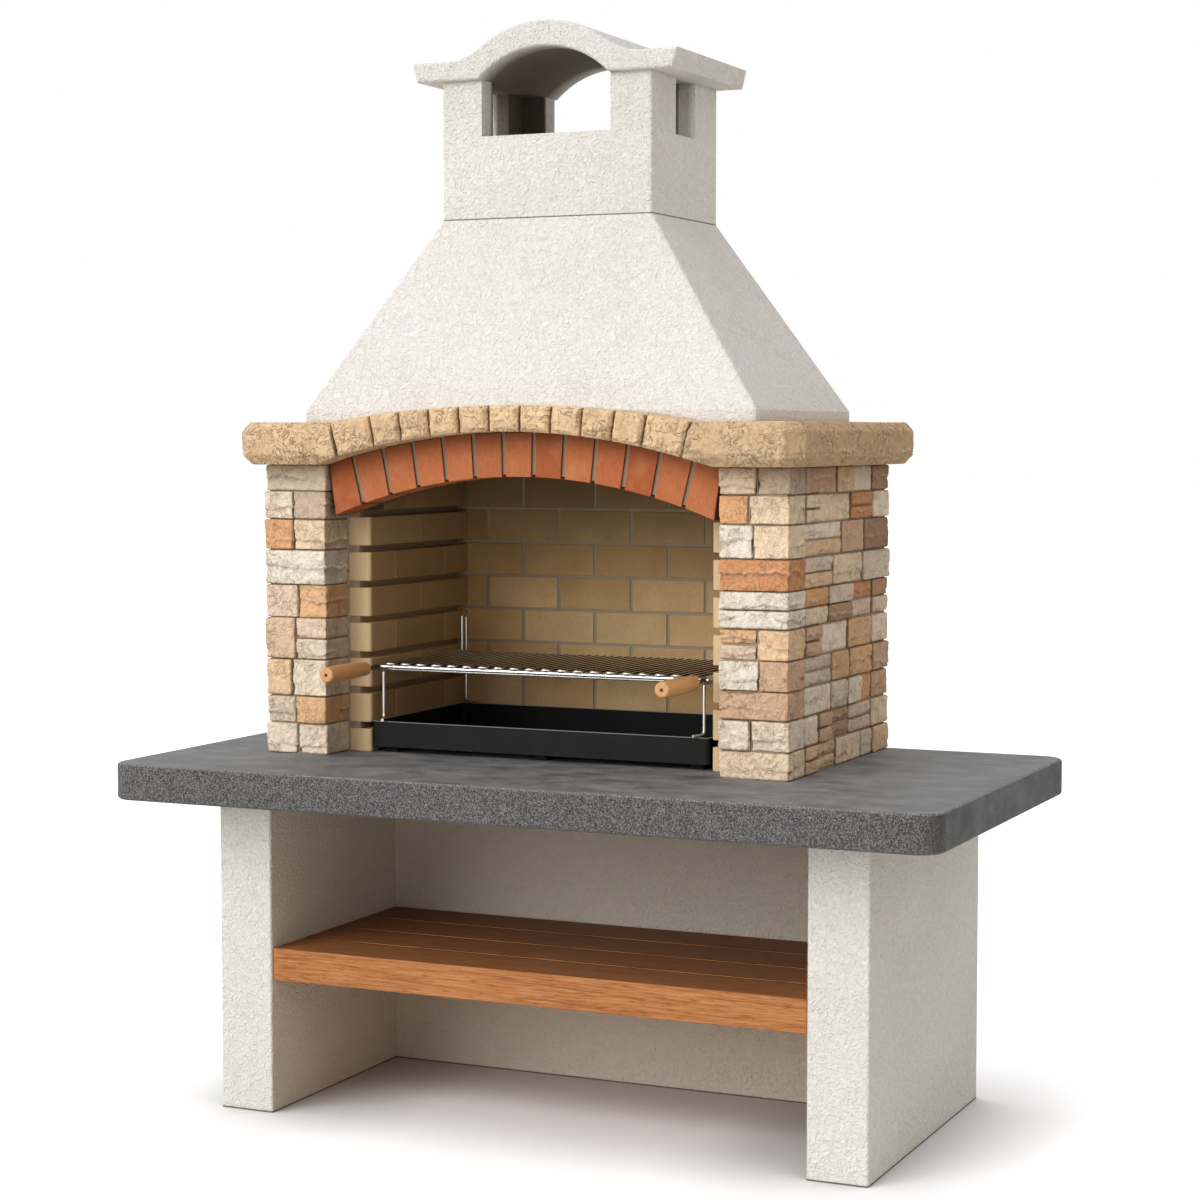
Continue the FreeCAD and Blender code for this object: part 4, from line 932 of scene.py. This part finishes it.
# %% Tray enamel
enamel, tree, place = new_finish("black_satin_enamel")
peel = add(tree, "TexNoise", {"Vector": place, "Scale": 1000 / 7, "Detail": 2.0})
ash = add(tree, "TexNoise", {"Vector": place, "Scale": 1000 / 70, "Detail": 4.0, "Roughness": 0.6})
dust = add(tree, "MapRange", {"Value": ash, "From Min": 0.4, "From Max": 0.75, "To Max": 0.5})
colour = add(tree, "Mix", {0: dust, 6: linear("212121"), 7: linear("2D2C2B")}, data_type="RGBA")
rough = add(tree, "MapRange", {"Value": ash, "To Min": 0.42, "To Max": 0.6})
tray_low, tray_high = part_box("charcoal_tray")
tray_front, rim_top = tray_low[1], tray_high[2]
spot = add(tree, "SeparateXYZ", {0: place}).outputs
# Char, and painted shade: behind the front wall the tray turns near black
char_and_painted_shade = add(tree, "MapRange", {"Value": spot["Y"], "From Min": tray_front + 0.006,
                                 "From Max": tray_front + 0.014})
colour = add(tree, "Mix", {0: char_and_painted_shade, 6: colour, 7: linear("0B0B0B")}, data_type="RGBA")
# Painted highlight on the rim, partly worn enamel
rim_highlight = add(tree, "MapRange", {"Value": spot["Z"], "From Min": rim_top - 0.0016, "From Max": rim_top - 0.0004})
colour = add(tree, "Mix", {0: rim_highlight, 6: colour, 7: linear("9A9995")}, data_type="RGBA")
bump = add(tree, "Bump", {"Height": peel, "Strength": 0.08, "Distance": 0.001})
surface(tree, {"Base Color": colour, "Roughness": rough, "Specular IOR Level": 0.1, "Normal": bump})
dress(enamel, "charcoal_tray", "tray_feet")

# %% Wire, rods and pins
def heated_metal(name, patch_size, patch_detail, dark, light, clear, hazy):
    material, tree, place = new_finish(name)
    haze = add(tree, "TexNoise", {"Vector": place, "Scale": 1000 / patch_size, "Detail": 3.0,
                                  "Roughness": patch_detail})
    colour = add(tree, "Mix", {0: haze, 6: linear(dark), 7: linear(light)}, data_type="RGBA")
    rough = add(tree, "MapRange", {"Value": haze, "To Min": clear, "To Max": hazy})
    surface(tree, {"Base Color": colour, "Metallic": 1.0, "Roughness": rough})
    return material


dress(heated_metal("chromed_wire", 18, 0.5, "C4C2BE", "E9E9E7", 0.18, 0.42),
      "stand_frame_left", "stand_frame_right", "stand_cross_wires", "grid_rails")
dress(heated_metal("heat_browned_steel", 9, 0.6, "3A332E", "6E6259", 0.35, 0.6), "handle_rods", "shelf_pins")

# %% Grid bars, blackened below and behind their front bends, by soot and painted shade
bar_steel, tree, place = new_finish("fire_blackened_wire")
haze = add(tree, "TexNoise", {"Vector": place, "Scale": 1000 / 18, "Detail": 3.0})
brushed = add(tree, "Mix", {0: haze, 6: linear("D8D5D0"), 7: linear("F2F1EE")}, data_type="RGBA")
# Soot, and painted shade between the bars: the undersides are dark
soot_and_painted_shade = add(tree, "MapRange", {"Value": facing(tree)["Z"], "From Min": 0.3, "From Max": 0.75,
                               "To Min": 1.0, "To Max": 0.0})
depth = add(tree, "SeparateXYZ", {0: place}).outputs["Y"]
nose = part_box("grid_bars")[0][1]
in_fire = add(tree, "MapRange", {"Value": depth, "From Min": nose + 0.008, "From Max": nose + 0.02})
soot_and_painted_shade = add(tree, "Math", {0: soot_and_painted_shade, 1: in_fire}, operation="MULTIPLY")
colour = add(tree, "Mix", {0: soot_and_painted_shade, 6: brushed, 7: linear("2C2520")}, data_type="RGBA")
rough = add(tree, "MapRange", {"Value": soot_and_painted_shade, "To Min": 0.28, "To Max": 0.7})
surface(tree, {"Base Color": colour, "Metallic": 1.0, "Roughness": rough})
dress(bar_steel, "grid_bars")

# %% Beech grips
beech, tree, place = new_finish("turned_oiled_beech")
fleck_place = stretched(tree, place, (1.6, 9, 1.6))
fleck = add(tree, "TexNoise", {"Vector": fleck_place, "Scale": 1.0, "Detail": 2.0})
ring_place = stretched(tree, place, (9, 160, 9))
ring = add(tree, "TexNoise", {"Vector": ring_place, "Scale": 1.0, "Detail": 2.0, "Distortion": 0.5})
bands = add(tree, "Mix", {0: ring, 6: linear("C58A50"), 7: linear("E2AF79")}, data_type="RGBA")
dark_fleck = add(tree, "MapRange", {"Value": fleck, "From Min": 0.60, "From Max": 0.72, "To Max": 0.5})
colour = add(tree, "Mix", {0: dark_fleck, 6: bands, 7: linear("93602F")}, data_type="RGBA")
bump = add(tree, "Bump", {"Height": fleck, "Strength": 0.12, "Distance": 0.0006})
surface(tree, {"Base Color": colour, "Roughness": 0.42, "Normal": bump})
dress(beech, "handle_grip_left", "handle_grip_right")
